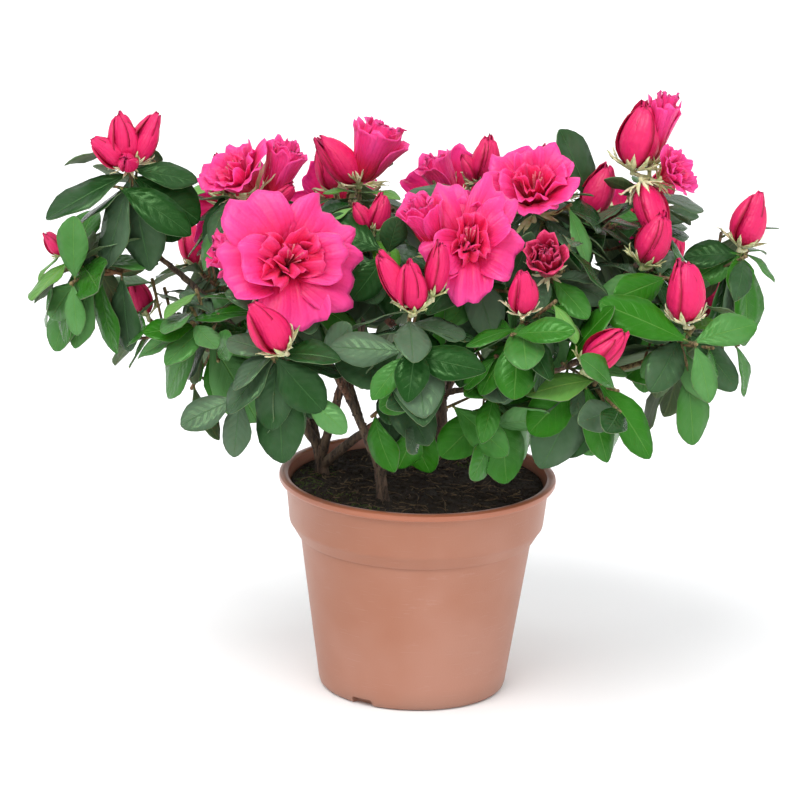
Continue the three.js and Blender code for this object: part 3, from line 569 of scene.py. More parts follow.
def grow_spray(row, space):
    """The twigs, leaves and blooms of one spray: the main growth first, then the finer twigs."""
    dice = Dice(row["seed"])
    trunk = Limb(row["fork"], row["bend"], row["tip"], 2, tapered(TWIG_START, TWIG_END))
    twigs = [trunk]
    large = [bloom for bloom in row["blooms"] if bloom[0] != "small"]
    blooms = [grow_bloom(row["tip"], bloom, space, dice) for bloom in large]
    grow_leaves(trunk, MAIN_LEAVES, row["leaf"], row["facing"], space, dice)
    twig = side_twig(trunk, space, dice, *SIDE_TWIG)
    if twig:
        twigs.append(twig)
        grow_leaves(twig, SIDE_LEAVES, SIDE_LEAF_SHARE * row["leaf"], row["facing"], space, dice)
    fine = Dice(row["seed"] + FINE_SEED)
    space.overreach, space.leaf_clearance = FINE_OVERREACH, FINE_CLEARANCE
    small = [bloom for bloom in row["blooms"] if bloom[0] == "small"]
    blooms += [grow_bloom(row["tip"], bloom, space, fine) for bloom in small]
    grow_leaves(trunk, FINE_LEAVES, FINE_LEAF_SHARE * row["leaf"], row["facing"] + FINE_TURN, space, fine,
                FINE_PITCH)
    for _ in range(FINE_TWIGS):
        twig = side_twig(trunk, space, fine, *FINE_TWIG)
        if twig:
            twigs.append(twig)
            grow_leaves(twig, FINE_LEAVES, SIDE_LEAF_SHARE * row["leaf"], row["facing"], space, fine)
    for share, bearing, tilt, length, shoot_leaves in row["shoots"]:
        start = trunk.middle_at(share)
        end = start + heading(bearing, tilt) * length
        twig = Limb(start, (start + end) / 2 + UP * SHOOT_BEND * length, end, 1, tapered(*SIDE_TWIG_RADII))
        twigs.append(twig)
        for order, set_leaf in enumerate(shoot_leaves):
            set_by_hand(twig, 1 - SET_STEP * order, *set_leaf, space)
    for set_leaf in row["set_leaves"]:
        set_by_hand(trunk, *set_leaf, space)
    return twigs, [bloom for bloom in blooms if bloom]


def set_by_hand(twig, share, bearing, tilt, length, space):
    """Sets one leaf on a twig, its face to the viewer; leaves by the rule that cross it give way."""
    root = twig.middle_at(share)
    face = unit(root - CROWN_CORE) + TO_VIEWER
    leaf = leaf_towards(root, heading(bearing, tilt), face, length / FULL_LEAF, SET_DROOP)
    leaf |= {"age": SET_AGE, "kept": True}
    space.leaves = [other for other in space.leaves if other.get("kept")
                    or not (space.leaves_cross(leaf, other) or space.leaves_cross(other, leaf))]
    space.leaves.append(leaf)


def in_opening(leaf):
    """Whether a leaf's middle is seen in one of the openings; leaves set one by one never count."""
    if leaf.get("kept"):
        return False
    x, y, z = place_on(leaf, LEAF_MIDDLE, 0)
    rise = z * math.cos(VIEW_TILT) + y * math.sin(VIEW_TILT)
    return any(math.hypot(x - across, rise - up) < radius for across, up, radius in OPENINGS)


def finished_bloom(spray_name, order, bloom):
    """The bloom as the finished plant holds it; its foot stays at the tip of its twig."""
    bloom = {**bloom, "spray": spray_name, "foot": bloom["root"]}
    if (spray_name, order) in POSES:
        kind, size, bearing, tilt, shift, widths = POSES[spray_name, order]
        held = stood_up(heading(bearing, tilt), 0) * np.array([*widths, 1])
        root = bloom["root"] + np.array(shift)
        return {**bloom, "kind": kind, "size": size, "frame": held, "root": root}
    if bloom["kind"] == "flower" and bloom["size"] < CUP_BELOW and bloom["frame"][1, 2] < TO_BACK:
        return {**bloom, "kind": "cup", "size": CUP_SHARE * bloom["size"]}
    return bloom


def clear_of(leaf, blooms):
    """Whether a leaf stays out of the blooms; leaves set one by one always stay."""
    points = np.array([place_on(leaf, share, side) for share, side in BLOOM_SAMPLES])
    for bloom in blooms:
        reach, height = BLOOM_ROOM[bloom["kind"]]
        local = (points - bloom["root"]) @ bloom["frame"]
        rise = local[:, 2]
        size = bloom["size"]
        inside = np.hypot(local[:, 0], local[:, 1]) < reach * size
        inside &= (rise > BLOOM_NECK * size + BLOOM_FOOT) & (rise < height * size + BLOOM_FOOT)
        if inside.any():
            return leaf.get("kept", False)
    return True


def carrying_share(twig, feet):
    """The share of a twig up to the outermost leaf, bloom or twig that it carries."""
    shares = np.linspace(0, 1, TWIG_SAMPLES)
    points = np.array([twig.at(share) for share in shares])
    near = np.linalg.norm(points[:, None] - feet[None], axis=2).min(axis=1) < NEAR_TWIG
    return shares[near].max() if near.any() else 0.0


@functools.lru_cache
def grown_plant():
    """All that grows: limbs by name, twigs, and leaves and blooms with their spray."""
    limbs = {name: stem_limb(*row) for name, row in STEMS.items()}
    rows = []
    for name, parent, leave, sprays in BOUGHS:
        limbs[name] = bough_limb(limbs[parent], leave, sprays)
        fork = fork_of(sprays)
        for row in sprays:
            tip = np.array(row["tip"], float)
            bend = tip - heading(*row["lean"]) * TIP_BEND * np.linalg.norm(tip - fork)
            facing = math.degrees(math.atan2(tip[1], tip[0])) if row["facing"] is None else row["facing"]
            seed = row["seed"] or 1 + len(rows)
            rows.append({**row, "tip": tip, "bend": bend, "fork": fork, "facing": facing, "seed": seed,
                         "axis": unit((tip + bend) / 2 - fork), "bough": name})
    limb_points = np.array([point for limb in limbs.values() for point in limb.samples()])
    twigs, leaves, blooms = [], [], []
    for row in rows:
        space = Space(row, [other for other in rows if other is not row], limb_points)
        spray_twigs, spray_blooms = grow_spray(row, space)
        twigs += spray_twigs
        young_first = sorted(space.leaves, key=lambda leaf: (leaf["age"], -leaf["root"][2]))
        for order, leaf in enumerate(young_first):
            leaf["fresh"] = order < row["fresh"]
            leaf["spray"] = row["name"]
        leaves += [leaf for leaf in space.leaves if not in_opening(leaf)]
        blooms += [finished_bloom(row["name"], order, bloom) for order, bloom in enumerate(spray_blooms)]
    return limbs, twigs, [leaf for leaf in leaves if clear_of(leaf, blooms)], blooms


class Pile:
    """Many small shapes, gathered as arrays and joined into one mesh."""

    def __init__(self):
        self.points, self.faces, self.uvs, self.slots, self.tints = [], [], [], [], []
        self.count = 0

    def add(self, points, faces, uvs=None, slots=None, tint=(0.5, 0.5)):
        """Adds a shape; its points are in millimetres."""
        self.add_copies(np.asarray(points)[None], faces, uvs, slots, np.array([tint]))

    def add_copies(self, points, faces, uvs, slots, tints):
        """Adds copies of a shape, with the points of each as (copies, points, 3)."""
        copies, size = points.shape[:2]
        self.first = self.count
        shifts = self.count + size * np.arange(copies)[:, None, None]
        self.points.append(points.reshape(-1, 3))
        self.faces.append((faces[None] + shifts).reshape(-1, faces.shape[1]))
        self.uvs.append(np.tile(np.zeros((size, 2)) if uvs is None else uvs, (copies, 1)))
        self.slots.append(np.tile(np.zeros(len(faces), int) if slots is None else slots, copies))
        self.tints.append(np.repeat(tints, size, axis=0))
        self.count += copies * size

    def add_faces(self, faces, slot):
        """Adds faces to the shape that was added last."""
        self.faces.append(faces + self.first)
        self.slots.append(np.full(len(faces), slot))

    def build(self, name, finishes):
        corners = np.concatenate([faces.ravel() for faces in self.faces])
        totals = np.concatenate([np.full(len(faces), faces.shape[1]) for faces in self.faces])
        mesh = bpy.data.meshes.new(name)
        mesh.vertices.add(self.count)
        mesh.vertices.foreach_set("co", (np.vstack(self.points) * MM).ravel())
        mesh.loops.add(len(corners))
        mesh.loops.foreach_set("vertex_index", corners)
        mesh.polygons.add(len(totals))
        mesh.polygons.foreach_set("loop_start", np.concatenate([[0], np.cumsum(totals)[:-1]]))
        mesh.polygons.foreach_set("material_index", np.concatenate(self.slots))
        mesh.polygons.foreach_set("use_smooth", np.ones(len(totals), bool))
        for layer, rows in (("surface", self.uvs), ("tint", self.tints)):
            mesh.uv_layers.new(name=layer).data.foreach_set("uv", np.vstack(rows)[corners].ravel())
        mesh.update(calc_edges=True)
        mesh.validate()
        for finish in finishes:
            mesh.materials.append(finish)
        piece = bpy.data.objects.new(name, mesh)
        bpy.context.collection.objects.link(piece)
        return piece


def only(piece):
    """Makes a piece the only selected one, and the active one."""
    bpy.ops.object.select_all(action="DESELECT")
    piece.select_set(True)
    bpy.context.view_layer.objects.active = piece


def added(primitive, **settings):
    """Adds a primitive with nothing else selected, and gives its piece back."""
    bpy.ops.object.select_all(action="DESELECT")
    primitive(**settings)
    return bpy.context.object


def add_modifier(piece, kind, **settings):
    only(piece)
    modifier = piece.modifiers.new(kind.title(), kind)
    for setting, value in settings.items():
        setattr(modifier, setting, value)
    bpy.ops.object.modifier_apply(modifier=modifier.name)


def shape_from(piece):
    """A piece's arrays, in millimetres; the piece is then taken away."""
    mesh = piece.data
    points = np.empty(3 * len(mesh.vertices))
    mesh.vertices.foreach_get("co", points)
    corners = np.empty(len(mesh.loops), int)
    mesh.loops.foreach_get("vertex_index", corners)
    slots = np.empty(len(mesh.polygons), int)
    mesh.polygons.foreach_get("material_index", slots)
    uvs = np.zeros((len(mesh.vertices), 2))
    if mesh.uv_layers:
        loop_uvs = np.empty(2 * len(mesh.loops))
        mesh.uv_layers[0].data.foreach_get("uv", loop_uvs)
        uvs[corners] = loop_uvs.reshape(-1, 2)
    faces = corners.reshape(len(mesh.polygons), -1)
    bpy.data.objects.remove(piece)
    return {"points": points.reshape(-1, 3) / MM, "faces": faces, "uvs": uvs, "slots": slots}


def face_outwards():
    """Turns every face of the piece being edited outwards, and ends the editing."""
    bpy.ops.mesh.select_all(action="SELECT")
    bpy.ops.mesh.normals_make_consistent(inside=False)
    bpy.ops.object.mode_set(mode="OBJECT")


def grid_shape(across, along):
    """A flat grid with its own surface coordinates, across and along from 0 to 1."""
    grid = added(bpy.ops.mesh.primitive_grid_add, x_subdivisions=across, y_subdivisions=along, size=1,
                 enter_editmode=True)
    face_outwards()
    return shape_from(grid)


def solid_shape(pile, thickness, inner_slots=0):
    """The joined sheets of a pile with a thickness, as arrays."""
    piece = pile.build("sheets", [bpy.data.materials.new("sheet") for _ in range(4)])
    add_modifier(piece, "SOLIDIFY", thickness=thickness * MM, offset=0, material_offset=inner_slots,
                 material_offset_rim=inner_slots)
    return shape_from(piece)


def tube(points, radii, sides, relief=0.0):
    """A closed round limb along points, with ridges along it as its relief."""
    points, radii = np.asarray(points, float), np.asarray(radii, float)
    axes = np.gradient(points, axis=0)
    axes /= np.linalg.norm(axes, axis=1)[:, None]
    side = unit(np.cross(axes[0], [0.3, 0.9, 0.1]))
    rings = []
    for point, axis, radius in zip(points, axes, radii):
        side = unit(side - axis * (side @ axis))
        other = np.cross(axis, side)
        for turn in np.arange(sides) * 2 * math.pi / sides:
            out = side * math.cos(turn) + other * math.sin(turn)
            swell = 0.0
            if relief:
                place = Vector(point * 0.12 + out * 1.6)
                swell = relief * (noise.noise(place * 2.2) + 0.6 * noise.noise(place * 6))
            rings.append(point + out * (radius + swell))
    count = len(points)
    rings += [points[0] - axes[0] * radii[0] * 0.4, points[-1] + axes[-1] * radii[-1] * 0.6]
    ring, turn = np.divmod(np.arange((count - 1) * sides), sides)
    nxt = (turn + 1) % sides
    walls = np.column_stack([ring * sides + turn, ring * sides + nxt, (ring + 1) * sides + nxt,
                             (ring + 1) * sides + turn])
    last = (count - 1) * sides
    steps = np.arange(sides)
    after = (steps + 1) % sides
    foot = np.column_stack([after, steps, np.full(sides, count * sides)])
    tip = np.column_stack([last + steps, last + after, np.full(sides, count * sides + 1)])
    return np.array(rings), walls, np.vstack([foot, tip])


def add_tube(pile, points, radii, sides, relief=0.0, slot=0):
    places, walls, ends = tube(points, radii, sides, relief)
    pile.add(places, walls, slots=np.full(len(walls), slot))
    pile.add_faces(ends, slot)


class Wire:
    """A socket that takes part in sums; each sum adds its Math node."""

    def __init__(self, finish, socket):
        self.finish, self.socket = finish, socket

    def math(self, operation, *values, flipped=False):
        terms = [*values, self] if flipped else [self, *values]
        return self.finish.node("Math", {"operation": operation}, dict(enumerate(terms)))

    def __add__(self, other):
        return self.math("ADD", other)

    def __sub__(self, other):
        return self.math("SUBTRACT", other)

    def __rsub__(self, other):
        return self.math("SUBTRACT", other, flipped=True)

    def __mul__(self, other):
        return self.math("MULTIPLY", other)

    def __abs__(self):
        return self.math("ABSOLUTE")

    def band(self, low, high):
        """0 below low and 1 above high, smooth between them; low may be the larger."""
        ends = (self, min(low, high), max(low, high), float(low > high), float(low < high))
        return self.finish.node("MapRange", {"interpolation_type": "SMOOTHSTEP"}, dict(enumerate(ends)))


class Finish:
    """A material made of nodes."""

    def __init__(self, name, **constant):
        self.material = bpy.data.materials.new(name)
        self.material.use_nodes = True
        self.tree = self.material.node_tree
        self.surface = self.tree.nodes["Principled BSDF"]
        for socket, value in constant.items():
            self.surface.inputs[socket.replace("_", " ").title().replace("Ior", "IOR")].default_value = value

    def node(self, kind, settings=None, sockets=None, output=0):
        node = self.tree.nodes.new("ShaderNode" + kind)
        for setting, value in (settings or {}).items():
            setattr(node, setting, value)
        for socket, value in (sockets or {}).items():
            if isinstance(value, Wire):
                self.tree.links.new(value.socket, node.inputs[socket])
            else:
                node.inputs[socket].default_value = value
        return Wire(self, node.outputs[output])

    def place(self):
        return self.node("TexCoord", output="Object")

    def on_map(self, name):
        """The two numbers of a surface map."""
        uv = self.node("UVMap", {"uv_map": name})
        return [self.node("SeparateXYZ", None, {0: uv}, output) for output in (0, 1)]

    def noise(self, scale, detail=3.0, roughness=0.55, stretch=None):
        place = self.place()
        if stretch:
            place = self.node("Mapping", None, {"Vector": place, "Scale": stretch})
        sockets = {"Vector": place, "Scale": scale, "Detail": detail, "Roughness": roughness}
        return self.node("TexNoise", None, sockets)

    def mix(self, share, below, above):
        sockets = {0: share, 6: below, 7: above}
        return self.node("Mix", {"data_type": "RGBA"}, sockets, output=2)

    def worn(self, colour, roughness, height, depth, strength):
        """Joins what varies over the surface to the shader, and gives the material back."""
        bump = self.node("Bump", None, {"Height": height, "Distance": depth, "Strength": strength})
        for socket, wire in (("Base Color", colour), ("Roughness", roughness), ("Normal", bump)):
            self.tree.links.new(wire.socket, self.surface.inputs[socket])
        return self.material


def faded(colour, amount):
    """A colour brought towards white (above 0) or black (below 0)."""
    goal = 1.0 if amount > 0 else 0.0
    return tuple(part + (goal - part) * abs(amount) for part in colour[:3]) + (1.0,)


def leaf_finish(name, blade, vein, gloss):
    """A leaf's upper side: sunken midrib, side veins that arch forward, a pale margin."""
    finish = Finish(name, subsurface_weight=0.03, subsurface_scale=0.002, specular_ior_level=0.19,
                    specular_tint=(0.45, 0.85, 0.35, 1))
    across, along = finish.on_map("surface")
    chance, age = finish.on_map("tint")
    side = across * 2 - 1
    out = abs(side)
    midrib = out.band(0.055, 0.012)
    other_half = side.math("GREATER_THAN", 0.0) * 0.5
    steps = (along - out * 0.2 - out * out * 0.06) * 7.5 + other_half
    ridge = abs((steps + finish.noise(130.0) * 0.5).math("FRACT") - 0.5) * 2
    side_veins = ridge.band(0.86, 0.98) * out.band(0.9, 0.6) * 0.2
    net = finish.node("TexVoronoi", {"feature": "DISTANCE_TO_EDGE"},
                      {"Vector": finish.place(), "Scale": 900.0})
    fine = net.band(0.1, 0.02) * 0.04
    veins = midrib.math("MAXIMUM", side_veins)
    margin = out.band(0.94, 0.985)
    patches = finish.noise(60.0)
    dark, light = faded(blade, -0.28), faded(blade, 0.07)
    ground = finish.mix((patches * 0.7 + chance * 0.7 - 0.25).band(0.1, 0.9), dark, light)
    lined = finish.mix((veins * 0.5 + fine).math("MINIMUM", 1.0), ground, vein)
    edged = finish.mix(margin * 0.3, lined, vein)
    height = patches * 0.8 - veins - fine * 2 - ridge.band(0.0, 0.9) * 0.35
    return finish.worn(edged, patches * 0.14 + gloss + veins * 0.1 + age * 0.04, height, 0.0005, 0.5)


def underside_finish(colour, vein):
    finish = Finish("leaf_underside", subsurface_weight=0.04, subsurface_scale=0.002)
    across, along = finish.on_map("surface")
    out = abs(across * 2 - 1)
    ridge = abs(((along - out * 0.26) * 7.5).math("FRACT") - 0.5) * 2
    veins = out.band(0.1, 0.03).math("MAXIMUM", ridge.band(0.84, 0.97) * 0.7)
    colours = finish.mix(veins * 0.6, finish.mix(finish.noise(90.0), faded(colour, -0.15), colour), vein)
    return finish.worn(colours, finish.noise(200.0) * 0.2 + 0.5, veins, 0.0004, 0.6)


def petal_finish(name, throat, face, rim):
    """A petal: deep colour towards the throat, partly its own and partly painted shade, faint veins that fan
    out, a paler soft rim.
    """
    finish = Finish(name, subsurface_weight=0.35, subsurface_scale=0.003, sheen_weight=0.08,
                    subsurface_radius=(1.0, 0.2, 0.4), sheen_roughness=0.4, specular_ior_level=0.25)
    across, along = finish.on_map("surface")
    chance, _ = finish.on_map("tint")
    side = across * 2 - 1
    cloud = finish.noise(110.0)
    crinkle = finish.noise(420.0, 4.0, 0.6)
    fan = abs((side * (6.5 - along * 1.5) + cloud * 0.6).math("FRACT") - 0.5) * 2
    veins = fan.band(0.7, 1.0) * along.band(1.05, 0.3) * 0.2
    # Deeper towards the throat: partly the petal's own colour and partly painted shade of the flower's
    # hollow.
    depth = (along + cloud * 0.4 + chance * 0.15 - 0.3).band(0.08, 0.75)
    body = finish.mix(depth, throat, face)
    edged = finish.mix((along + abs(side) * 0.12 + cloud * 0.2).band(0.75, 1.15) * 0.8, body, rim)
    lined = finish.mix(veins, edged, throat)
    height = crinkle * 0.8 + cloud - fan.band(0.4, 1.0) * 0.3
    return finish.worn(lined, cloud * 0.2 + 0.42, height, 0.0009, 0.6)


def bud_finish(name, seam_shade, face, tip):
    """A bud's rolled petal: painted shade towards its tucked seam, where it lies against the next petal,
    paler along its outer edge.
    """
    finish = Finish(name, subsurface_weight=0.08, subsurface_scale=0.002, specular_ior_level=0.22)
    across, along = finish.on_map("surface")
    chance, _ = finish.on_map("tint")
    streak = abs((across * 7 + finish.noise(200.0) * 0.9).math("FRACT") - 0.5) * 2
    cloud = finish.noise(170.0)
    # Painted shade: the petal darkens towards both its edges, where the petals overlap and tuck in.
    clear_of_seam_shade = (abs(across * 2 - 1) * -1 + cloud * 0.2 + 0.92).band(0.0, 0.22)
    body = finish.mix(clear_of_seam_shade, seam_shade, face)
    tipped = finish.mix((along + chance * 0.3).band(0.75, 1.25) * 0.5, body, tip)
    # Painted shade: the fine streaks take a little of the seam's shade colour.
    lined = finish.mix(streak.band(0.75, 0.98) * 0.05, tipped, seam_shade)
    height = cloud * 1.6 - streak.band(0.5, 1.0) * 0.2
    return finish.worn(lined, cloud * 0.2 + 0.38, height, 0.001, 0.6)


def calyx_finish():
    finish = Finish("calyx_green", subsurface_weight=0.1, subsurface_scale=0.002)
    chance, _ = finish.on_map("tint")
    cloud = finish.noise(240.0)
    shade = (cloud + chance * 0.4).band(0.35, 0.95)
    colour = finish.mix(shade, (0.36, 0.44, 0.13, 1), (0.74, 0.68, 0.44, 1))
    return finish.worn(colour, cloud * 0.2 + 0.5, cloud, 0.0004, 0.5)


def bark_finish(name, deep, light, reddish):
    """Brown bark with lengthwise cracks, reddish stretches and grey flecks."""
    finish = Finish(name)
    grain = finish.noise(420.0, 5.0, 0.65, (1.0, 1.0, 0.22))
    cracks = finish.noise(900.0, 3.0, 0.6, (1.0, 1.0, 0.16)).band(0.5, 0.36)
    patches = finish.noise(45.0)
    flecks = finish.node("TexVoronoi", None, {"Vector": finish.place(), "Scale": 520.0}).band(0.22, 0.1)
    body = finish.mix(grain.band(0.3, 0.7), deep, light)
    warm = finish.mix(patches.band(0.48, 0.66) * 0.6, body, reddish)
    cracked = finish.mix(cracks * 0.75, warm, faded(deep, -0.6))
    flecked = finish.mix(flecks * patches.band(0.4, 0.6) * 0.45, cracked, (0.42, 0.4, 0.33, 1))
    return finish.worn(flecked, grain * 0.3 + 0.6, grain - cracks, 0.0012, 0.8)


def pot_finish(colour, lip):
    """Moulded plastic: fine stipple, scuffs, and a glossier rim of a warmer colour."""
    finish = Finish("terracotta_plastic", coat_weight=0.12, coat_roughness=0.2, specular_ior_level=0.5)
    height = finish.node("SeparateXYZ", None, {0: finish.place()}, 2)
    stipple = finish.noise(1500.0, 2.0)
    cloud = finish.noise(14.0)
    rubbed = finish.noise(70.0, 4.0, 0.6, (1.0, 1.0, 3.5)).band(0.62, 0.74)
    scratch = finish.noise(260.0, 2.0, 0.5, (0.25, 0.25, 6.0)).band(0.66, 0.72)
    at_rim = height.band(0.0985, 0.1005)
    body = finish.mix(cloud.band(0.3, 0.7), faded(colour, -0.07), faded(colour, 0.05))
    rim = finish.mix(at_rim * 0.7, body, lip)
    worn = finish.mix(rubbed * 0.08 + scratch * 0.04, rim, faded(colour, 0.4))
    # Darker brown in patches towards the foot.
    darker_foot = finish.mix(height.band(0.012, 0.0) * cloud.band(0.4, 0.6) * 0.3, worn, (0.16, 0.1, 0.07, 1))
    roughness = 0.42 - at_rim * 0.14 + stipple * 0.08 + rubbed * 0.15
    return finish.worn(darker_foot, roughness, stipple * 0.5 + scratch * -0.5, 0.00025, 0.45)


def grainy_finish(name, deep, light, scale):
    """A rough surface of grains: painted shade in the hollows and painted light on top, and tone that varies
    in clouds.
    """
    finish = Finish(name)
    grain = finish.noise(scale, 6.0, 0.7)
    cloud = finish.noise(40.0)
    # Painted light and shade: the grains' colour follows their bump height, darker in the hollows; the cloud
    # adds real tone.
    shade = (grain * 0.8 + cloud * 0.4).band(0.4, 0.85)
    return finish.worn(finish.mix(shade, deep, light), grain * 0.25 + 0.72, grain, 0.002, 1.0)


# The levels at which a petal's curves are given, from its foot to its rim
LEVELS = np.linspace(0, 1, 5)

# The slots of a bloom
OPEN, DARK, CALYX, INNER = range(4)

# Leaf outline: share along the leaf, share of its half width
LEAF_ROWS = ((0, 0.06), (0.06, 0.08), (0.15, 0.26), (0.27, 0.54), (0.41, 0.82), (0.55, 0.98), (0.68, 0.99),
             (0.8, 0.87), (0.9, 0.64), (0.965, 0.38), (1, 0.08))
# How leaves differ: share of the usual width, fold, sway, twist, phase of the edge, narrow tip
LEAF_CHANCES = ((0.72, 1.12), (0.05, 0.42), (-0.09, 0.09), (-0.3, 0.3), PHASES, (0, 0.45))


def leaf_shape():
    """A leaf in its own frame, as shares of its length and half width, with a thickness."""
    steps = len(LEAF_ROWS) - 1
    grid = grid_shape(4, steps)
    across = grid["uvs"][:, 0] * 2 - 1
    row = np.rint(grid["uvs"][:, 1] * steps).astype(int)
    along, width = np.array(LEAF_ROWS)[row].T
    sheets = Pile()
    sheets.add(np.column_stack([along, -across * width, np.zeros(len(row))]), grid["faces"],
               np.column_stack([grid["uvs"][:, 0], along]))
    return solid_shape(sheets, 0.012, inner_slots=1)


def smooth(levels):
    """The smooth curve through values at five even levels."""
    return np.poly1d(np.polyfit(LEVELS, levels, 4))


def rolled_petal(pile, grid, turn, dice, radii, heights, spans, twist=0, tuck=0.0, ruffle=0.0, blunt=7.0):
    """A petal rolled round the axis; radii, heights and half spans run from its foot to its rim."""
    along = 1 - (1 - grid["uvs"][:, 1]) ** 1.4
    rim = np.clip((along - 0.45) / 0.55, 0, 1) ** blunt
    across = (grid["uvs"][:, 0] * 2 - 1) * np.sqrt(1.0 - 0.9 * rim)
    phase = dice.roll(*PHASES)
    wave = ruffle * along ** 2 * np.sin(across * 4.6 + phase) * (0.4 + np.abs(across))
    fold = ruffle * along ** 3 * (np.cos(across * 6.5 + phase * 2) + 0.6 * np.cos(across * 15 + phase))
    radius = np.maximum(smooth(radii)(along) + tuck * across + fold, 0.012)
    height = smooth(heights)(along) + wave - 0.06 * rim * across ** 2
    angle = np.radians(turn + twist * along + smooth(spans)(along) * across)
    points = np.column_stack([radius * np.cos(angle), radius * np.sin(angle), height])
    pile.add(points, grid["faces"], grid["uvs"], np.zeros(len(grid["faces"]), int))


def free_petal(pile, grid, turn, dice, radii, heights, width, ruffle=0.0, cup=0.0, point=0.0, slot=0):
    """A petal that stands free: a curved midline, a round or pointed outline and a wavy rim."""
    across, rise = grid["uvs"][:, 0] * 2 - 1, grid["uvs"][:, 1]
    phase = dice.roll(*PHASES)
    uneven = (0.04 * np.sin(across * 4 + phase) + 0.025 * np.sin(across * 11 + 2 * phase)
              - 0.06 * np.exp(-(across / 0.2) ** 2))
    turned_out = np.cos(across * math.pi / 2)
    along = rise * (1 - 0.4 * (1 - turned_out) + (1 - point) * uneven * rise ** 3)
    across = np.sin(across * math.pi / 2)
    swell = 0.14 + 0.86 * np.sin(0.5 * math.pi * rise) ** 0.9
    half = width * swell * (1 - 0.97 * point * rise ** 2.5)
    middle, lift = smooth(radii), smooth(heights)
    out, up = middle.deriv()(along), lift.deriv()(along)
    steep = np.maximum(np.hypot(out, up), 1e-6)
    frill = (np.sin(across * 4.2 + phase) * (0.3 + np.abs(across))
             + 0.6 * rise ** 2 * np.sin(across * 9 + phase * 1.7))
    pleats = np.sin(math.pi * rise) * (np.cos(across * 8 + phase) + np.sin(rise * 6 + across * 3 + 2 * phase))
    wave = ruffle * (rise ** 1.6 * frill + 0.28 * pleats) + cup * across ** 2 * half
    radius = middle(along) - up / steep * wave
    height = lift(along) + out / steep * wave
    turned = math.radians(turn)
    x = radius * math.cos(turned) - across * half * math.sin(turned)
    y = radius * math.sin(turned) + across * half * math.cos(turned)
    pile.add(np.column_stack([x, y, height]), grid["faces"], grid["uvs"], np.full(len(grid["faces"]), slot))


def petal_ring(petal, pile, grid, count, first, dice, radii, heights, width, loose=9.0, **shape):
    """Petals round the axis, each with its own reach, height and turn."""
    for k in range(count):
        turn = first + 360 * k / count + dice.roll(-loose, loose)
        reach, lift = dice.roll(0.86, 1.07), dice.roll(0.88, 1.08)
        petal(pile, grid, turn, dice, np.array(radii) * reach, np.array(heights) * lift, width, **shape)


def sepals(pile, dice, size):
    """A whorl of pointed scales under a bloom: the inner ones hug it and the outer ones spread."""
    grid = grid_shape(4, 6)
    for count, part, reach in ((6, 1.0, 0.0), (5, 0.75, 0.5), (3, 0.6, 1.0)):
        spread = 0.16 * reach + 0.05
        radii = (0.06, 0.2 + 0.2 * spread, 0.26 + 0.5 * spread, 0.29 + 0.8 * spread, 0.29 + 1.2 * spread)
        heights = (-0.06, 0.06 * size, 0.4 * size * part, 0.72 * size * part,
                   (1 - 0.3 * reach) * size * part)
        petal_ring(free_petal, pile, grid, count, dice.roll(0, 72), dice, radii, heights, 0.3 * size,
                   loose=14, ruffle=0.07 * size, cup=0.35, point=1.0, slot=CALYX)


def bud_shape(seed):
    """A full spindle of rolled petals that overlap in a twist, crumpled at the tip."""
    dice = Dice(seed)
    pile, grid = Pile(), grid_shape(7, 10)
    radii = np.array((0.09, 0.27, 0.315, 0.23, 0.06)) * dice.roll(0.94, 1.04)
    petal_ring(rolled_petal, pile, grid, 3, dice.roll(0, 72), dice, radii, (0, 0.2, 0.46, 0.76, 0.97),
               (76, 78, 76, 70, 62), twist=dice.roll(25, 45), tuck=0.05, ruffle=0.03, loose=8, blunt=4.0)
    petal_ring(rolled_petal, pile, grid, 4, dice.roll(0, 72), dice, radii * 0.82, (0, 0.22, 0.47, 0.78, 1.0),
               (60, 60, 60, 56, 50), twist=36, tuck=0.03, ruffle=0.03, blunt=4.0)
    sepals(pile, dice, 0.24)
    return solid_shape(pile, 0.014)


def half_shape(seed):
    """A bud that opens: outer petals flare at the rim round a rolled core."""
    dice = Dice(seed)
    pile, grid = Pile(), grid_shape(8, 9)
    petal_ring(free_petal, pile, grid, 5, dice.roll(0, 72), dice, (0.06, 0.21, 0.29, 0.37, 0.47),
               (0, 0.24, 0.52, 0.78, 0.9), 0.25, ruffle=0.05, cup=0.55)
    petal_ring(rolled_petal, pile, grid, 4, dice.roll(0, 72), dice, (0.05, 0.2, 0.25, 0.24, 0.26),
               (0, 0.26, 0.56, 0.84, 1.0), (58, 58, 58, 60, 60), tuck=0.04, ruffle=0.055, twist=24)
    petal_ring(rolled_petal, pile, grid, 3, dice.roll(0, 90), dice, (0.04, 0.12, 0.16, 0.13, 0.1),
               (0, 0.3, 0.6, 0.85, 0.98), (60, 62, 62, 62, 60), tuck=0.03, ruffle=0.05, twist=50)
    sepals(pile, dice, 0.16)
    return solid_shape(pile, 0.011)


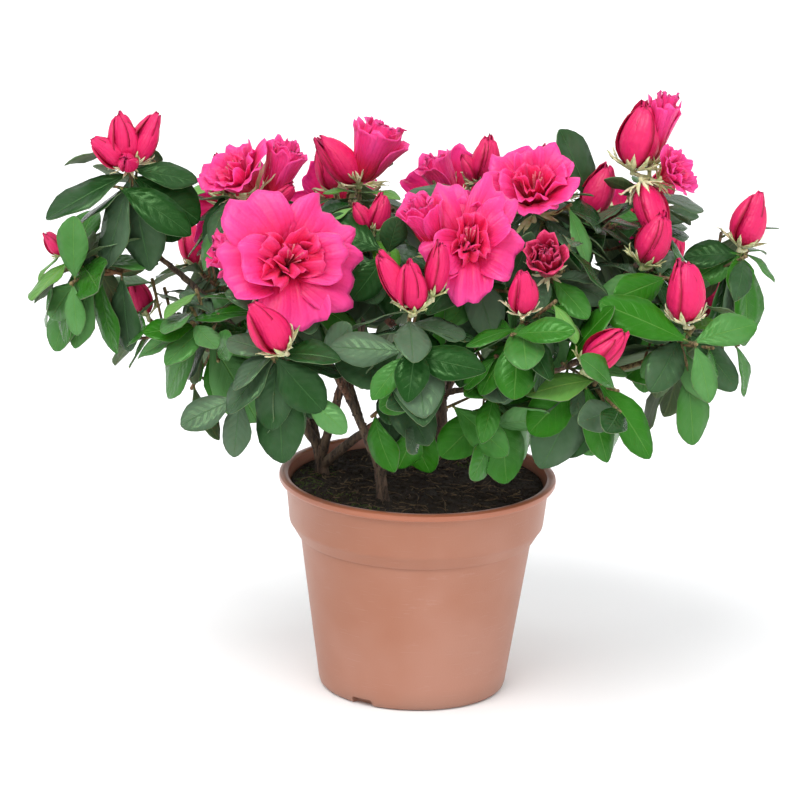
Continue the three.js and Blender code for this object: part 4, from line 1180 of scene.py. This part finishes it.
# Petal rings of a wide flower and of one that still stands as a cup: how many, radii, heights,
# half width, ruffle, cup
WIDE_RINGS = (
    (5, (0.05, 0.14, 0.32, 0.49, 0.62), (0.02, 0.19, 0.25, 0.24, 0.19), 0.275, 0.052, 0.02),
    (2, (0.04, 0.12, 0.25, 0.38, 0.48), (0.03, 0.21, 0.29, 0.33, 0.33), 0.22, 0.06, 0.1),
    (4, (0.03, 0.07, 0.13, 0.2, 0.26), (0.05, 0.18, 0.28, 0.36, 0.4), 0.13, 0.085, 0.35),
    (3, (0.02, 0.04, 0.06, 0.09, 0.13), (0.05, 0.17, 0.27, 0.34, 0.37), 0.1, 0.07, 0.6),
)
CUP_RINGS = (
    (5, (0.05, 0.15, 0.28, 0.41, 0.52), (0.02, 0.19, 0.32, 0.4, 0.42), 0.25, 0.045, 0.12),
    (4, (0.04, 0.12, 0.21, 0.3, 0.38), (0.03, 0.2, 0.35, 0.45, 0.5), 0.18, 0.06, 0.2),
    (4, (0.03, 0.06, 0.1, 0.15, 0.2), (0.05, 0.2, 0.34, 0.44, 0.49), 0.12, 0.075, 0.4),
)


def flower_shape(seed, rings):
    """A double flower: wide petals outside, small crumpled ones in the throat."""
    dice = Dice(seed)
    pile, grid = Pile(), grid_shape(14, 10)
    for order, (count, radii, heights, width, ruffle, cup) in enumerate(rings):
        inner = order > 1
        petal_ring(free_petal, pile, grid, count, dice.roll(0, 72), dice, radii, heights, width,
                   loose=26 if inner else 10, ruffle=ruffle, cup=cup, slot=INNER if inner else OPEN)
    sepals(pile, dice, 0.14)
    return solid_shape(pile, 0.005)


def stamen_points(dice, length):
    turn, lean = dice.roll(0, 2 * math.pi), dice.roll(0.05, 0.24)
    out = np.array([math.cos(turn), math.sin(turn), 0.0])
    return [out * lean * length * share ** 1.6 + UP * length * share for share in (0, 0.35, 0.7, 1)]


def leaf_copies(pile, shape, leaves, dice):
    """Adds a leaf for each grown one: drooped, folded and curled, in its own frame."""
    length = FULL_LEAF * np.array([leaf["length"] for leaf in leaves])[:, None]
    length = np.minimum(length, LONGEST_LEAF)
    droop = np.array([leaf["droop"] for leaf in leaves])[:, None]
    width, fold, sway, twist, wavy, narrow = [
        np.array([dice.roll(*ends) for _ in leaves])[:, None] for ends in LEAF_CHANCES]
    half_width = LEAF_WIDTH_SHARE * length * width
    along, side, rise = shape["points"].T
    x = along * length * (1 - 0.12 * droop)
    y = side * half_width * (1 - 0.1 * fold - narrow * along ** 4) + sway * length * along ** 2
    edge = np.abs(side)
    z = (rise * length + fold * edge * half_width * (1 - 0.55 * along) - droop * length * along ** 2
         - 0.10 * half_width * edge ** 3 + twist * side * half_width * along
         + 0.035 * length * edge ** 2 * np.sin(along * 9 + wavy))
    local = np.stack([x, y, z], axis=-1)
    frames = np.array([leaf["frame"] for leaf in leaves])
    roots = np.array([leaf["root"] for leaf in leaves])[:, None]
    places = np.einsum("nij,nvj->nvi", frames, local) + roots
    tints = np.array([(dice.roll(), leaf["age"]) for leaf in leaves])
    pile.add_copies(places, shape["faces"], shape["uvs"], shape["slots"], tints)


def bloom_copy(pile, shape, bloom, dice):
    """Adds a bloom above its stalk, turned about its own axis by chance."""
    spin = Matrix.Rotation(dice.roll(0, 2 * math.pi), 3, "Z")
    local = shape["points"] @ np.array(spin).T * bloom["size"] + UP * BLOOM_FOOT
    places = local @ bloom["frame"].T + bloom["root"]
    pile.add(places, shape["faces"], shape["uvs"], shape["slots"], (dice.roll(), 0.5))


def colour(name, default, description):
    return bpy.props.FloatVectorProperty(name=name, description=description, default=default,
                                         subtype="COLOR", size=4, min=0, max=1)


def length(name, default, description):
    return bpy.props.FloatProperty(name=name, description=description, default=default, min=0,
                                   subtype="DISTANCE", unit="LENGTH")


class PotSettings(bpy.types.PropertyGroup):
    """Sizes and colours of the pot and its soil."""

    height: length("Height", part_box("pot")[1][2], "Height of the pot")
    foot_radius: length("Foot radius", 0.044, "Radius at the underside")
    shoulder_radius: length("Shoulder radius", 0.0544, "Radius below the band")
    band_radius: length("Band radius", 0.0618, "Radius at the top of the band")
    rim_radius: length("Rim radius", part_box("pot")[1][0], "Largest radius of the rim")
    wall: length("Wall", 0.002, "Thickness of the wall")
    pot_colour: colour("Pot", (0.356, 0.132, 0.071, 1.0), "Colour of the plastic")
    lip_colour: colour("Lip", (0.41, 0.125, 0.06, 1.0), "Warmer colour of the rim")
    soil_colour: colour("Soil", (0.018, 0.011, 0.006, 1.0), "Dark colour of the soil")
    crumbs: bpy.props.IntProperty(name="Crumbs", description="Number of soil crumbs", default=1900, min=0)


class PlantSettings(bpy.types.PropertyGroup):
    """Colours of the plant."""

    bark_colour: colour("Bark", (0.055, 0.032, 0.021, 1.0), "Dark colour of the bark")
    twig_colour: colour("Twigs", (0.12, 0.07, 0.025, 1.0), "Dark colour of the twigs")
    dark_leaf: colour("Dark leaves", (0.013, 0.066, 0.011, 1.0), "Colour of the old leaves")
    mid_leaf: colour("Green leaves", (0.028, 0.178, 0.008, 1.0), "Colour of the younger leaves")
    fresh_leaf: colour("Fresh leaves", (0.085, 0.29, 0.016, 1.0), "Colour of the newest leaves")
    petal_colour: colour("Petals", (0.88, 0.024, 0.19, 1.0), "Colour of an open petal")
    # The throat colour is partly the flower's own and partly painted shade.
    throat_colour: colour("Throat", (0.62, 0.002, 0.04, 1.0), "Deep colour inside a flower")
    bud_colour: colour("Buds", (0.67, 0.013, 0.11, 1.0), "Colour of a bud")


def settings():
    return bpy.context.scene.azalea_pot, bpy.context.scene.azalea_plant


def settle(piece, slot, *nodes):
    """Joins a finished piece to the plant, in place of its CAD nodes."""
    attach(piece, "root")
    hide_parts(*nodes)


def nodes_ending(ending):
    return [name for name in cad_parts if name.endswith(ending)]


def settle_on_sprays(pile, name, finishes):
    """Builds a piece that stands, with the others, in place of the sprays."""
    settle(pile.build(name, finishes), "leaf", *nodes_ending("_spray"))


class AZALEA_OT_pot(bpy.types.Operator):
    """Turns the pot from its profile and cuts the notches in its foot"""

    bl_idname = "azalea.pot"
    bl_label = "Pot"

    segments = 128
    # Where the notches are, in degrees from the side of the viewer, and the depth, width and height
    # of the block that cuts one
    notches, notch_block = (32, 152, 272), (0.009, 0.011, 0.007)

    def profile(self, pot):
        """Radius and height of each ring, outside from the foot to the rim, then down inside."""
        foot, shoulder, band, rim, top = (pot.foot_radius, pot.shoulder_radius, pot.band_radius,
                                          pot.rim_radius, pot.height)
        outside = [(foot - 0.0032, 0), (foot - 0.0016, 0.0003), (foot - 0.0006, 0.0013), (foot, 0.0032),
                   (foot + 0.0004, 0.006), (shoulder - 0.0003, 0.0720), (shoulder - 0.0002, 0.0736),
                   (shoulder + 0.0011, 0.0737), (shoulder + 0.0016, 0.0745), (band - 0.0033, 0.0787),
                   (band - 0.0024, 0.0799), (band - 0.0021, 0.0812), (band - 0.0003, 0.0976), (band, 0.0988)]
        lip = [(rim - 0.0014, 0.0992), (rim - 0.0006, 0.0995), (rim - 0.0001, 0.1003), (rim, 0.1012),
               (rim - 0.0002, 0.1022), (rim - 0.0009, top - 0.0002), (rim - 0.0018, top),
               (rim - 0.0032, top - 0.0001), (rim - 0.0042, top - 0.0008)]
        wall = pot.wall
        inside = [(band - wall, 0.0985), (band - 0.0024 - wall, 0.0799), (shoulder - wall, 0.0746),
                  (foot - wall + 0.0005, 0.006), (foot - wall, 0.0036)]
        return outside + lip + inside

    def execute(self, context):
        pot, _ = settings()
        rings = self.profile(pot)
        piece = added(bpy.ops.mesh.primitive_circle_add, vertices=self.segments, radius=rings[0][0],
                      fill_type="NGON", location=(0, 0, rings[0][1]), enter_editmode=True)
        bpy.ops.mesh.select_all(action="SELECT")
        for (radius, height), (next_radius, next_height) in zip(rings, rings[1:]):
            bpy.ops.mesh.extrude_region_move(TRANSFORM_OT_translate={"value": (0, 0, next_height - height)})
            share = next_radius / radius
            bpy.ops.transform.resize(value=(share, share, 1), center_override=(0, 0, next_height))
        bpy.ops.mesh.select_all(action="SELECT")
        bpy.ops.mesh.remove_doubles(threshold=1e-6)
        face_outwards()
        piece.name = piece.data.name = "terracotta_pot"
        only(piece)
        bpy.ops.object.transform_apply()
        for angle in self.notches:
            self.cut_notch(piece, math.radians(-90 - angle), pot.foot_radius)
        add_modifier(piece, "BEVEL", width=0.0002, segments=2, limit_method="ANGLE",
                     angle_limit=math.radians(50))
        only(piece)
        bpy.ops.object.shade_smooth_by_angle(angle=math.radians(38))
        piece.data.materials.append(pot_finish(tuple(pot.pot_colour), tuple(pot.lip_colour)))
        settle(piece, "pot", "pot")
        return {"FINISHED"}

    def cut_notch(self, piece, turn, foot_radius):
        reach = foot_radius - 0.0005
        place = (reach * math.cos(turn), reach * math.sin(turn), 0)
        notch = added(bpy.ops.mesh.primitive_cube_add, size=1, location=place, rotation=(0, 0, turn))
        bpy.ops.transform.resize(value=self.notch_block, orient_type="LOCAL")
        bpy.ops.object.transform_apply()
        add_modifier(notch, "BEVEL", width=0.0012, segments=3)
        add_modifier(piece, "BOOLEAN", operation="DIFFERENCE", object=notch, solver="EXACT")
        bpy.data.objects.remove(notch)


class AZALEA_OT_soil(bpy.types.Operator):
    """Fills the pot with soil, crumbs, fibres and a little moss"""

    bl_idname = "azalea.soil"
    bl_label = "Soil"

    top_radius, heap, crumb_margin, fibre_margin = 59.0, 2.5, 1.4, 8
    moss_count, fibre_count, depth = 1500, 220, 0.012
    # Spots of moss: place and radius
    mossy = ((-40, -30, 15), (-52, -6, 9), (-26, -46, 9), (-46, 14, 9), (24, -50, 7), (30, 34, 13),
             (-12, 46, 9))
    # How uneven the soil is: height, waves in a millimetre, layer of the noise
    uneven = ((1.7, 0.06, 3), (0.9, 0.2, 8), (0.55, 0.6, 1))

    def height_at(self, x, y):
        reach = math.hypot(x, y) / self.top_radius
        rise = sum(height * noise.noise(Vector((x * waves, y * waves, layer)))
                   for height, waves, layer in self.uneven)
        return SOIL_TOP + self.heap + rise * min(1, 4 * (1 - reach)) + 0.5 * (1 - reach ** 2)

    def ground(self):
        """A drum of soil whose top is cut into small faces and made uneven."""
        piece = added(bpy.ops.mesh.primitive_cylinder_add, vertices=96, radius=self.top_radius * MM,
                      depth=self.depth, location=(0, 0, SOIL_TOP * MM - self.depth / 2))
        piece.name = piece.data.name = "soil_ground"
        bpy.ops.object.transform_apply()
        for face in piece.data.polygons:
            face.select = face.normal.z > 0.5
        bpy.ops.object.mode_set(mode="EDIT")
        bpy.ops.mesh.poke()
        bpy.ops.mesh.subdivide(number_cuts=11)
        bpy.ops.object.mode_set(mode="OBJECT")
        for vertex in piece.data.vertices:
            x, y = vertex.co.x / MM, vertex.co.y / MM
            if vertex.co.z > SOIL_TOP * MM - 0.001:
                vertex.co.z = self.height_at(x, y) * MM
            else:
                vertex.co.x, vertex.co.y = vertex.co.x * 0.97, vertex.co.y * 0.97
        only(piece)
        bpy.ops.object.shade_smooth_by_angle(angle=math.radians(60))
        return piece

    def scatter(self, pile, shape, count, sizes, dice, spots=None):
        """Crumbs over the whole soil, or in spots given by their middle and radius."""
        margin = self.top_radius - self.crumb_margin
        for _ in range(count):
            spot = spots[int(dice.roll(0, len(spots) - 0.001))] if spots else (0, 0, margin)
            x, y = np.add(spot[:2], place_within(spot[2], dice))
            if math.hypot(x, y) > margin:
                continue
            size = dice.roll(*sizes) * dice.roll(0.5, 1.0)
            stretch = np.array([dice.roll(0.7, 1.3), dice.roll(0.7, 1.3), dice.roll(0.5, 0.9)])
            turned = np.array(Matrix.Rotation(dice.roll(*TURNS), 3, "Z"))
            jagged = 1 + 0.25 * np.sin(shape["points"] @ np.array([7.0, 5.0, 3.0]) + dice.roll(0, 6))[:, None]
            points = (shape["points"] * jagged * stretch * size) @ turned.T
            place = np.array([x, y, self.height_at(x, y) + 0.15 * size])
            pile.add(points + place, shape["faces"])

    def fibres(self, pile, count, dice):
        for _ in range(count):
            x, y = place_within(self.top_radius - self.fibre_margin, dice)
            way, bend, size = dice.roll(*TURNS), dice.roll(-0.9, 0.9), dice.roll(3, 10)
            points = []
            for share in np.linspace(0, 1, 5):
                px = x + size * share * math.cos(way + bend * share)
                py = y + size * share * math.sin(way + bend * share)
                if math.hypot(px, py) > self.top_radius - 1.5:
                    break
                points.append((px, py, self.height_at(px, py) + 0.7 + 1.2 * share * (1 - share) * bend))
            if len(points) > 2:
                radius = dice.roll(0.12, 0.32)
                add_tube(pile, points, [radius] * len(points), 4)

    def execute(self, context):
        pot, _ = settings()
        deep = tuple(pot.soil_colour)
        dice = Dice(SOIL_SEED)
        ground = self.ground()
        earth = grainy_finish("peat", deep, (0.06, 0.04, 0.024, 1), 700.0)
        ground.data.materials.append(earth)
        settle(ground, "soil", "soil")
        shape = shape_from(added(bpy.ops.mesh.primitive_ico_sphere_add, subdivisions=1, radius=MM))
        crumbs, moss, fibres = Pile(), Pile(), Pile()
        self.scatter(crumbs, shape, pot.crumbs, (0.6, 1.9), dice)
        self.scatter(moss, shape, self.moss_count, (0.4, 1.0), dice, self.mossy)
        self.fibres(fibres, self.fibre_count, dice)
        brown = grainy_finish("peat_crumbs", deep, (0.085, 0.055, 0.032, 1), 900.0)
        green = grainy_finish("moss", (0.03, 0.055, 0.008, 1), (0.16, 0.21, 0.03, 1), 1400.0)
        pale = grainy_finish("fibres", (0.10, 0.06, 0.03, 1), (0.33, 0.23, 0.13, 1), 500.0)
        for name, pile, finish in (("soil_crumbs", crumbs, brown), ("soil_moss", moss, green),
                                   ("soil_fibres", fibres, pale)):
            settle(pile.build(name, [finish]), "soil", "soil")
        return {"FINISHED"}


class AZALEA_OT_limbs(bpy.types.Operator):
    """Makes the stems and boughs with ridged bark, and a small cut stub"""

    bl_idname = "azalea.limbs"
    bl_label = "Stems and boughs"

    # Pieces: name, ending of the nodes they replace, sides, light colour of the bark
    kinds = (("stems", "_stem", 20, (0.17, 0.105, 0.066, 1)),
             ("boughs", "_bough", 14, (0.16, 0.105, 0.06, 1)))

    def execute(self, context):
        _, plant = settings()
        limbs, _, _, _ = grown_plant()
        for piece_name, ending, sides, light in self.kinds:
            pile = Pile()
            for name, limb in limbs.items():
                if not name.endswith(ending):
                    continue
                shares = np.linspace(0, 1, max(8, int(limb.length / 1.1)))
                radii = [limb.radius_at(share) * (1.05 - 0.25 * share) for share in shares]
                add_tube(pile, [limb.at(share) for share in shares], radii, sides, relief=0.42)
                self.add_scars(pile, limb, Dice(len(pile.points)))
            if piece_name == "boughs":
                foot = limbs["low_bough"].at(0.6)
                add_tube(pile, [foot, foot + np.array([1.5, -2.5, 4.0])], [1.5, 1.4], 12, relief=0.15)
            bark = bark_finish("bark" + ending, tuple(plant.bark_colour), light, (0.22, 0.07, 0.035, 1))
            settle(pile.build(piece_name, [bark]), "bark", *nodes_ending(ending))
        return {"FINISHED"}

    def add_scars(self, pile, limb, dice):
        """Small knobs where old leaves and twigs fell."""
        for share in np.arange(0.08, 0.95, 7.0 / limb.length):
            out = off_axis(limb.axis_at(share), dice.roll(0, 360), 70)
            radius = limb.radius_at(share)
            foot = limb.at(share) + out * radius * 0.6
            add_tube(pile, [foot, foot + out * radius * 0.5, foot + out * radius * 0.62],
                     [radius * 0.42, radius * 0.3, radius * 0.14], 7)


class AZALEA_OT_twigs(bpy.types.Operator):
    """Makes the twigs and leaf stalks"""

    bl_idname = "azalea.twigs"
    bl_label = "Twigs"

    # A twig that carries nothing beyond this share of it isn't drawn
    shortest = 0.1

    def execute(self, context):
        _, plant = settings()
        _, twigs, leaves, blooms = grown_plant()
        pile, stalks = Pile(), Pile()
        feet = np.array([leaf["root"] for leaf in leaves] + [bloom["foot"] for bloom in blooms]
                        + [twig.at(0) for twig in twigs])
        for twig in twigs:
            end = carrying_share(twig, feet)
            if end < self.shortest:
                continue
            shares = np.linspace(0, end, max(4, int(twig.length / 4)))
            radii = [max(twig.radius_at(share), 0.6) for share in shares]
            add_tube(pile, [twig.at(share) for share in shares], radii, 8, relief=0.16)
        for leaf in leaves:
            ahead = leaf["frame"][:, 0]
            add_tube(stalks, [leaf["root"], leaf["root"] + ahead * leaf["length"] * 0.09],
                     [0.75, 0.55], 5)
        young = bark_finish("young_bark", tuple(plant.twig_colour), (0.27, 0.20, 0.075, 1),
                            (0.2, 0.055, 0.025, 1))
        green = bark_finish("leaf_stalks", (0.09, 0.10, 0.02, 1), (0.2, 0.22, 0.05, 1), (0.2, 0.08, 0.03, 1))
        settle_on_sprays(pile, "twigs", [young])
        settle_on_sprays(stalks, "leaf_stalks", [green])
        return {"FINISHED"}


class AZALEA_OT_leaves(bpy.types.Operator):
    """Makes the leaves: old dark ones, green ones and the newest pale ones"""

    bl_idname = "azalea.leaves"
    bl_label = "Leaves"

    def execute(self, context):
        _, plant = settings()
        _, _, leaves, _ = grown_plant()
        shape, dice = leaf_shape(), Dice(LEAF_SEED)
        kinds = {"dark": [], "mid": [], "fresh": []}
        for leaf in leaves:
            if leaf["fresh"]:
                kinds["fresh"].append(leaf)
            else:
                low = (GREEN_BELOW - leaf["root"][2]) / GREEN_DEPTH
                green = GREEN_LEAST + GREEN_RISE * min(1, max(0, low)) + GREENER.get(leaf["spray"], 0)
                kinds["mid" if dice.roll() < green else "dark"].append(leaf)
        veins = {"dark": ((0.05, 0.13, 0.04, 1), 0.12), "mid": ((0.11, 0.27, 0.05, 1), 0.14),
                 "fresh": ((0.32, 0.48, 0.10, 1), 0.28)}
        under = underside_finish((0.085, 0.15, 0.055, 1), (0.18, 0.26, 0.09, 1))
        for kind, grown in kinds.items():
            pile = Pile()
            leaf_copies(pile, shape, grown, dice)
            vein, gloss = veins[kind]
            blade = leaf_finish(kind + "_leaf", tuple(getattr(plant, kind + "_leaf")), vein, gloss)
            settle_on_sprays(pile, kind + "_leaves", [blade, under])
        return {"FINISHED"}


class AZALEA_OT_blooms(bpy.types.Operator):
    """Makes the flowers, the opening and closed buds, their calyxes and stamens"""

    bl_idname = "azalea.blooms"
    bl_label = "Blooms"

    def execute(self, context):
        _, plant = settings()
        _, _, _, blooms = grown_plant()
        dice = Dice(BLOOM_SEED)
        petals, throat = tuple(plant.petal_colour), tuple(plant.throat_colour)
        open_petal = petal_finish("petal", throat, petals, (0.93, 0.06, 0.29, 1))
        dark_petal = petal_finish("dark_petal", (0.3, 0.002, 0.02, 1), (0.46, 0.006, 0.05, 1),
                                  (0.66, 0.04, 0.14, 1))
        # The first colour is the painted shade in a bud's seams.
        closed = bud_finish("bud_petal", (0.26, 0.002, 0.02, 1), tuple(plant.bud_colour),
                            (0.78, 0.03, 0.17, 1))
        calyx = calyx_finish()
        shapes = {"flower": [flower_shape(seed, WIDE_RINGS) for seed in (1, 2, 3)],
                  "cup": [flower_shape(seed, CUP_RINGS) for seed in (9, 10)],
                  "half": [half_shape(seed) for seed in (4, 5)],
                  "bud": [bud_shape(seed) for seed in (6, 7, 8)]}
        shapes["small"] = shapes["bud"]
        piles = {"flowers": Pile(), "opening_buds": Pile(), "buds": Pile()}
        piece_of = {"flower": "flowers", "cup": "flowers", "half": "opening_buds", "bud": "buds",
                    "small": "buds"}
        stamens = Pile()
        for order, bloom in enumerate(blooms):
            choice = shapes[bloom["kind"]]
            shape = choice[order % len(choice)]
            if bloom["spray"] == "dark_flower":
                shape = {**shape, "slots": np.where(shape["slots"] == CALYX, CALYX, DARK)}
            piece_name = piece_of[bloom["kind"]]
            bloom_copy(piles[piece_name], shape, bloom, dice)
            self.add_stalk(stamens, bloom)
            if piece_name == "flowers":
                self.add_stamens(stamens, bloom, dice)
        # The inner petals are darker: partly their own colour and partly painted shade in the flower's hollow
        # centre.
        inner = petal_finish("inner_petal", (0.5, 0.002, 0.02, 1), (0.8, 0.012, 0.1, 1),
                             (0.9, 0.045, 0.2, 1))
        finishes = {"flowers": open_petal, "opening_buds": open_petal, "buds": closed}
        for name, pile in piles.items():
            kinds = [finishes[name], dark_petal, calyx] + [inner] * (name == "flowers")
            settle_on_sprays(pile, name, kinds)
        pale = grainy_finish("stamens", (0.68, 0.05, 0.14, 1), (0.88, 0.3, 0.32, 1), 300.0)
        settle_on_sprays(stamens, "stalks_and_stamens", [calyx, pale])
        return {"FINISHED"}

    def add_stalk(self, pile, bloom):
        """The stalk under a bloom, and the one from its twig if it is held apart from it."""
        ahead, root, foot = bloom["frame"] @ UP, bloom["root"], bloom["foot"]
        radii = [1.2, 1.05, 0.08 * bloom["size"]]
        add_tube(pile, [root - ahead, root + ahead * 2, root + ahead * 4], radii, 9)
        if np.linalg.norm(root - foot) > 2:
            add_tube(pile, [foot, (foot + root) / 2 - UP * 0.6, root], [0.95, 1.0, 1.15], 9)

    def add_stamens(self, pile, bloom, dice):
        for _ in range(5):
            local = np.array(stamen_points(dice, 0.46 * bloom["size"])) + UP * BLOOM_FOOT
            points = local @ bloom["frame"].T + bloom["root"]
            add_tube(pile, points, [0.28, 0.25, 0.22, 0.4], 5, slot=1)


class AZALEA_OT_stage(bpy.types.Operator):
    """Sets the floor, the soft lights and the camera"""

    bl_idname = "azalea.stage"
    bl_label = "Stage"

    # The photograph's view: elevation and roll, distance, focal length over 800 pixels, aim
    elevation, roll = VIEW_TILT, math.radians(1.64)
    distance, focal_pixels, image_pixels = 3.199, 6846.0, 800.0
    aim = (-0.00925, 0.0, 0.1386)
    # Suns: where from, strength, width of the disc in degrees; the glint shows only on what shines
    suns = (("key", (-0.7, -1.3, 2.1), 2.1, 40), ("fill", (1.4, -1.4, 1.0), 0.85, 60),
            ("back", (0.2, 1.5, 1.6), 0.5, 60), ("glint", (-0.5, -0.9, 1.3), 2.8, 26))

    def execute(self, context):
        self.floor()
        self.sky(context)
        for name, place, strength, width in self.suns:
            light = bpy.data.lights.new(name, "SUN")
            light.energy, light.angle = strength, math.radians(width)
            lamp = bpy.data.objects.new(name, light)
            lamp.matrix_world = Vector(place).to_track_quat("Z", "Y").to_matrix().to_4x4()
            lamp.visible_diffuse = name != "glint"
            context.collection.objects.link(lamp)
        self.camera(context)
        return {"FINISHED"}

    def floor(self):
        floor = added(bpy.ops.mesh.primitive_plane_add, size=30, location=(0, 0, -0.0002))
        floor.name = "floor"
        finish = Finish("pale_floor", roughness=0.8, specular_ior_level=0.2)
        finish.surface.inputs["Base Color"].default_value = (0.9, 0.9, 0.9, 1)
        floor.data.materials.append(finish.material)

    def sky(self, context):
        world = bpy.data.worlds.new("studio")
        world.use_nodes = True
        background = world.node_tree.nodes["Background"]
        background.inputs["Color"].default_value = (0.97, 0.985, 1.0, 1)
        background.inputs["Strength"].default_value = 0.85
        context.scene.world = world
        context.scene.view_settings.view_transform = "Standard"

    def camera(self, context):
        back = Vector((0, -math.cos(self.elevation), math.sin(self.elevation)))
        level, rise = Vector((1, 0, 0)), Vector((0, math.sin(self.elevation), math.cos(self.elevation)))
        right = math.cos(self.roll) * level + math.sin(self.roll) * rise
        above = math.cos(self.roll) * rise - math.sin(self.roll) * level
        camera = bpy.data.cameras.new("camera")
        camera.sensor_width = 36.0
        camera.lens = self.focal_pixels / self.image_pixels * camera.sensor_width
        camera.clip_start, camera.clip_end = 0.1, 60
        viewer = bpy.data.objects.new("camera", camera)
        turn = Matrix((right, above, back)).transposed().to_4x4()
        viewer.matrix_world = Matrix.Translation(Vector(self.aim) + back * self.distance) @ turn
        context.collection.objects.link(viewer)
        context.scene.camera = viewer


OPERATORS = (AZALEA_OT_pot, AZALEA_OT_soil, AZALEA_OT_limbs, AZALEA_OT_twigs, AZALEA_OT_leaves,
             AZALEA_OT_blooms, AZALEA_OT_stage)


class AZALEA_PT_panel(bpy.types.Panel):
    """Lists the plant's sizes, colours and pieces"""

    bl_label = "Potted azalea"
    bl_idname = "AZALEA_PT_panel"
    bl_space_type = "VIEW_3D"
    bl_region_type = "UI"
    bl_category = "Azalea"

    def draw(self, context):
        for group in settings():
            for name in group.bl_rna.properties.keys():
                if name not in ("rna_type", "name"):
                    self.layout.prop(group, name)
        for operator in OPERATORS:
            self.layout.operator(operator.bl_idname)


CLASSES = (PotSettings, PlantSettings, *OPERATORS, AZALEA_PT_panel)


def register():
    for item in CLASSES:
        bpy.utils.register_class(item)
    bpy.types.Scene.azalea_pot = bpy.props.PointerProperty(type=PotSettings)
    bpy.types.Scene.azalea_plant = bpy.props.PointerProperty(type=PlantSettings)


def unregister():
    del bpy.types.Scene.azalea_plant
    del bpy.types.Scene.azalea_pot
    for item in reversed(CLASSES):
        bpy.utils.unregister_class(item)


def main():
    register()
    for piece in ("pot", "soil", "limbs", "twigs", "leaves", "blooms", "stage"):
        getattr(bpy.ops.azalea, piece)()


if __name__ == "__main__":
    main()
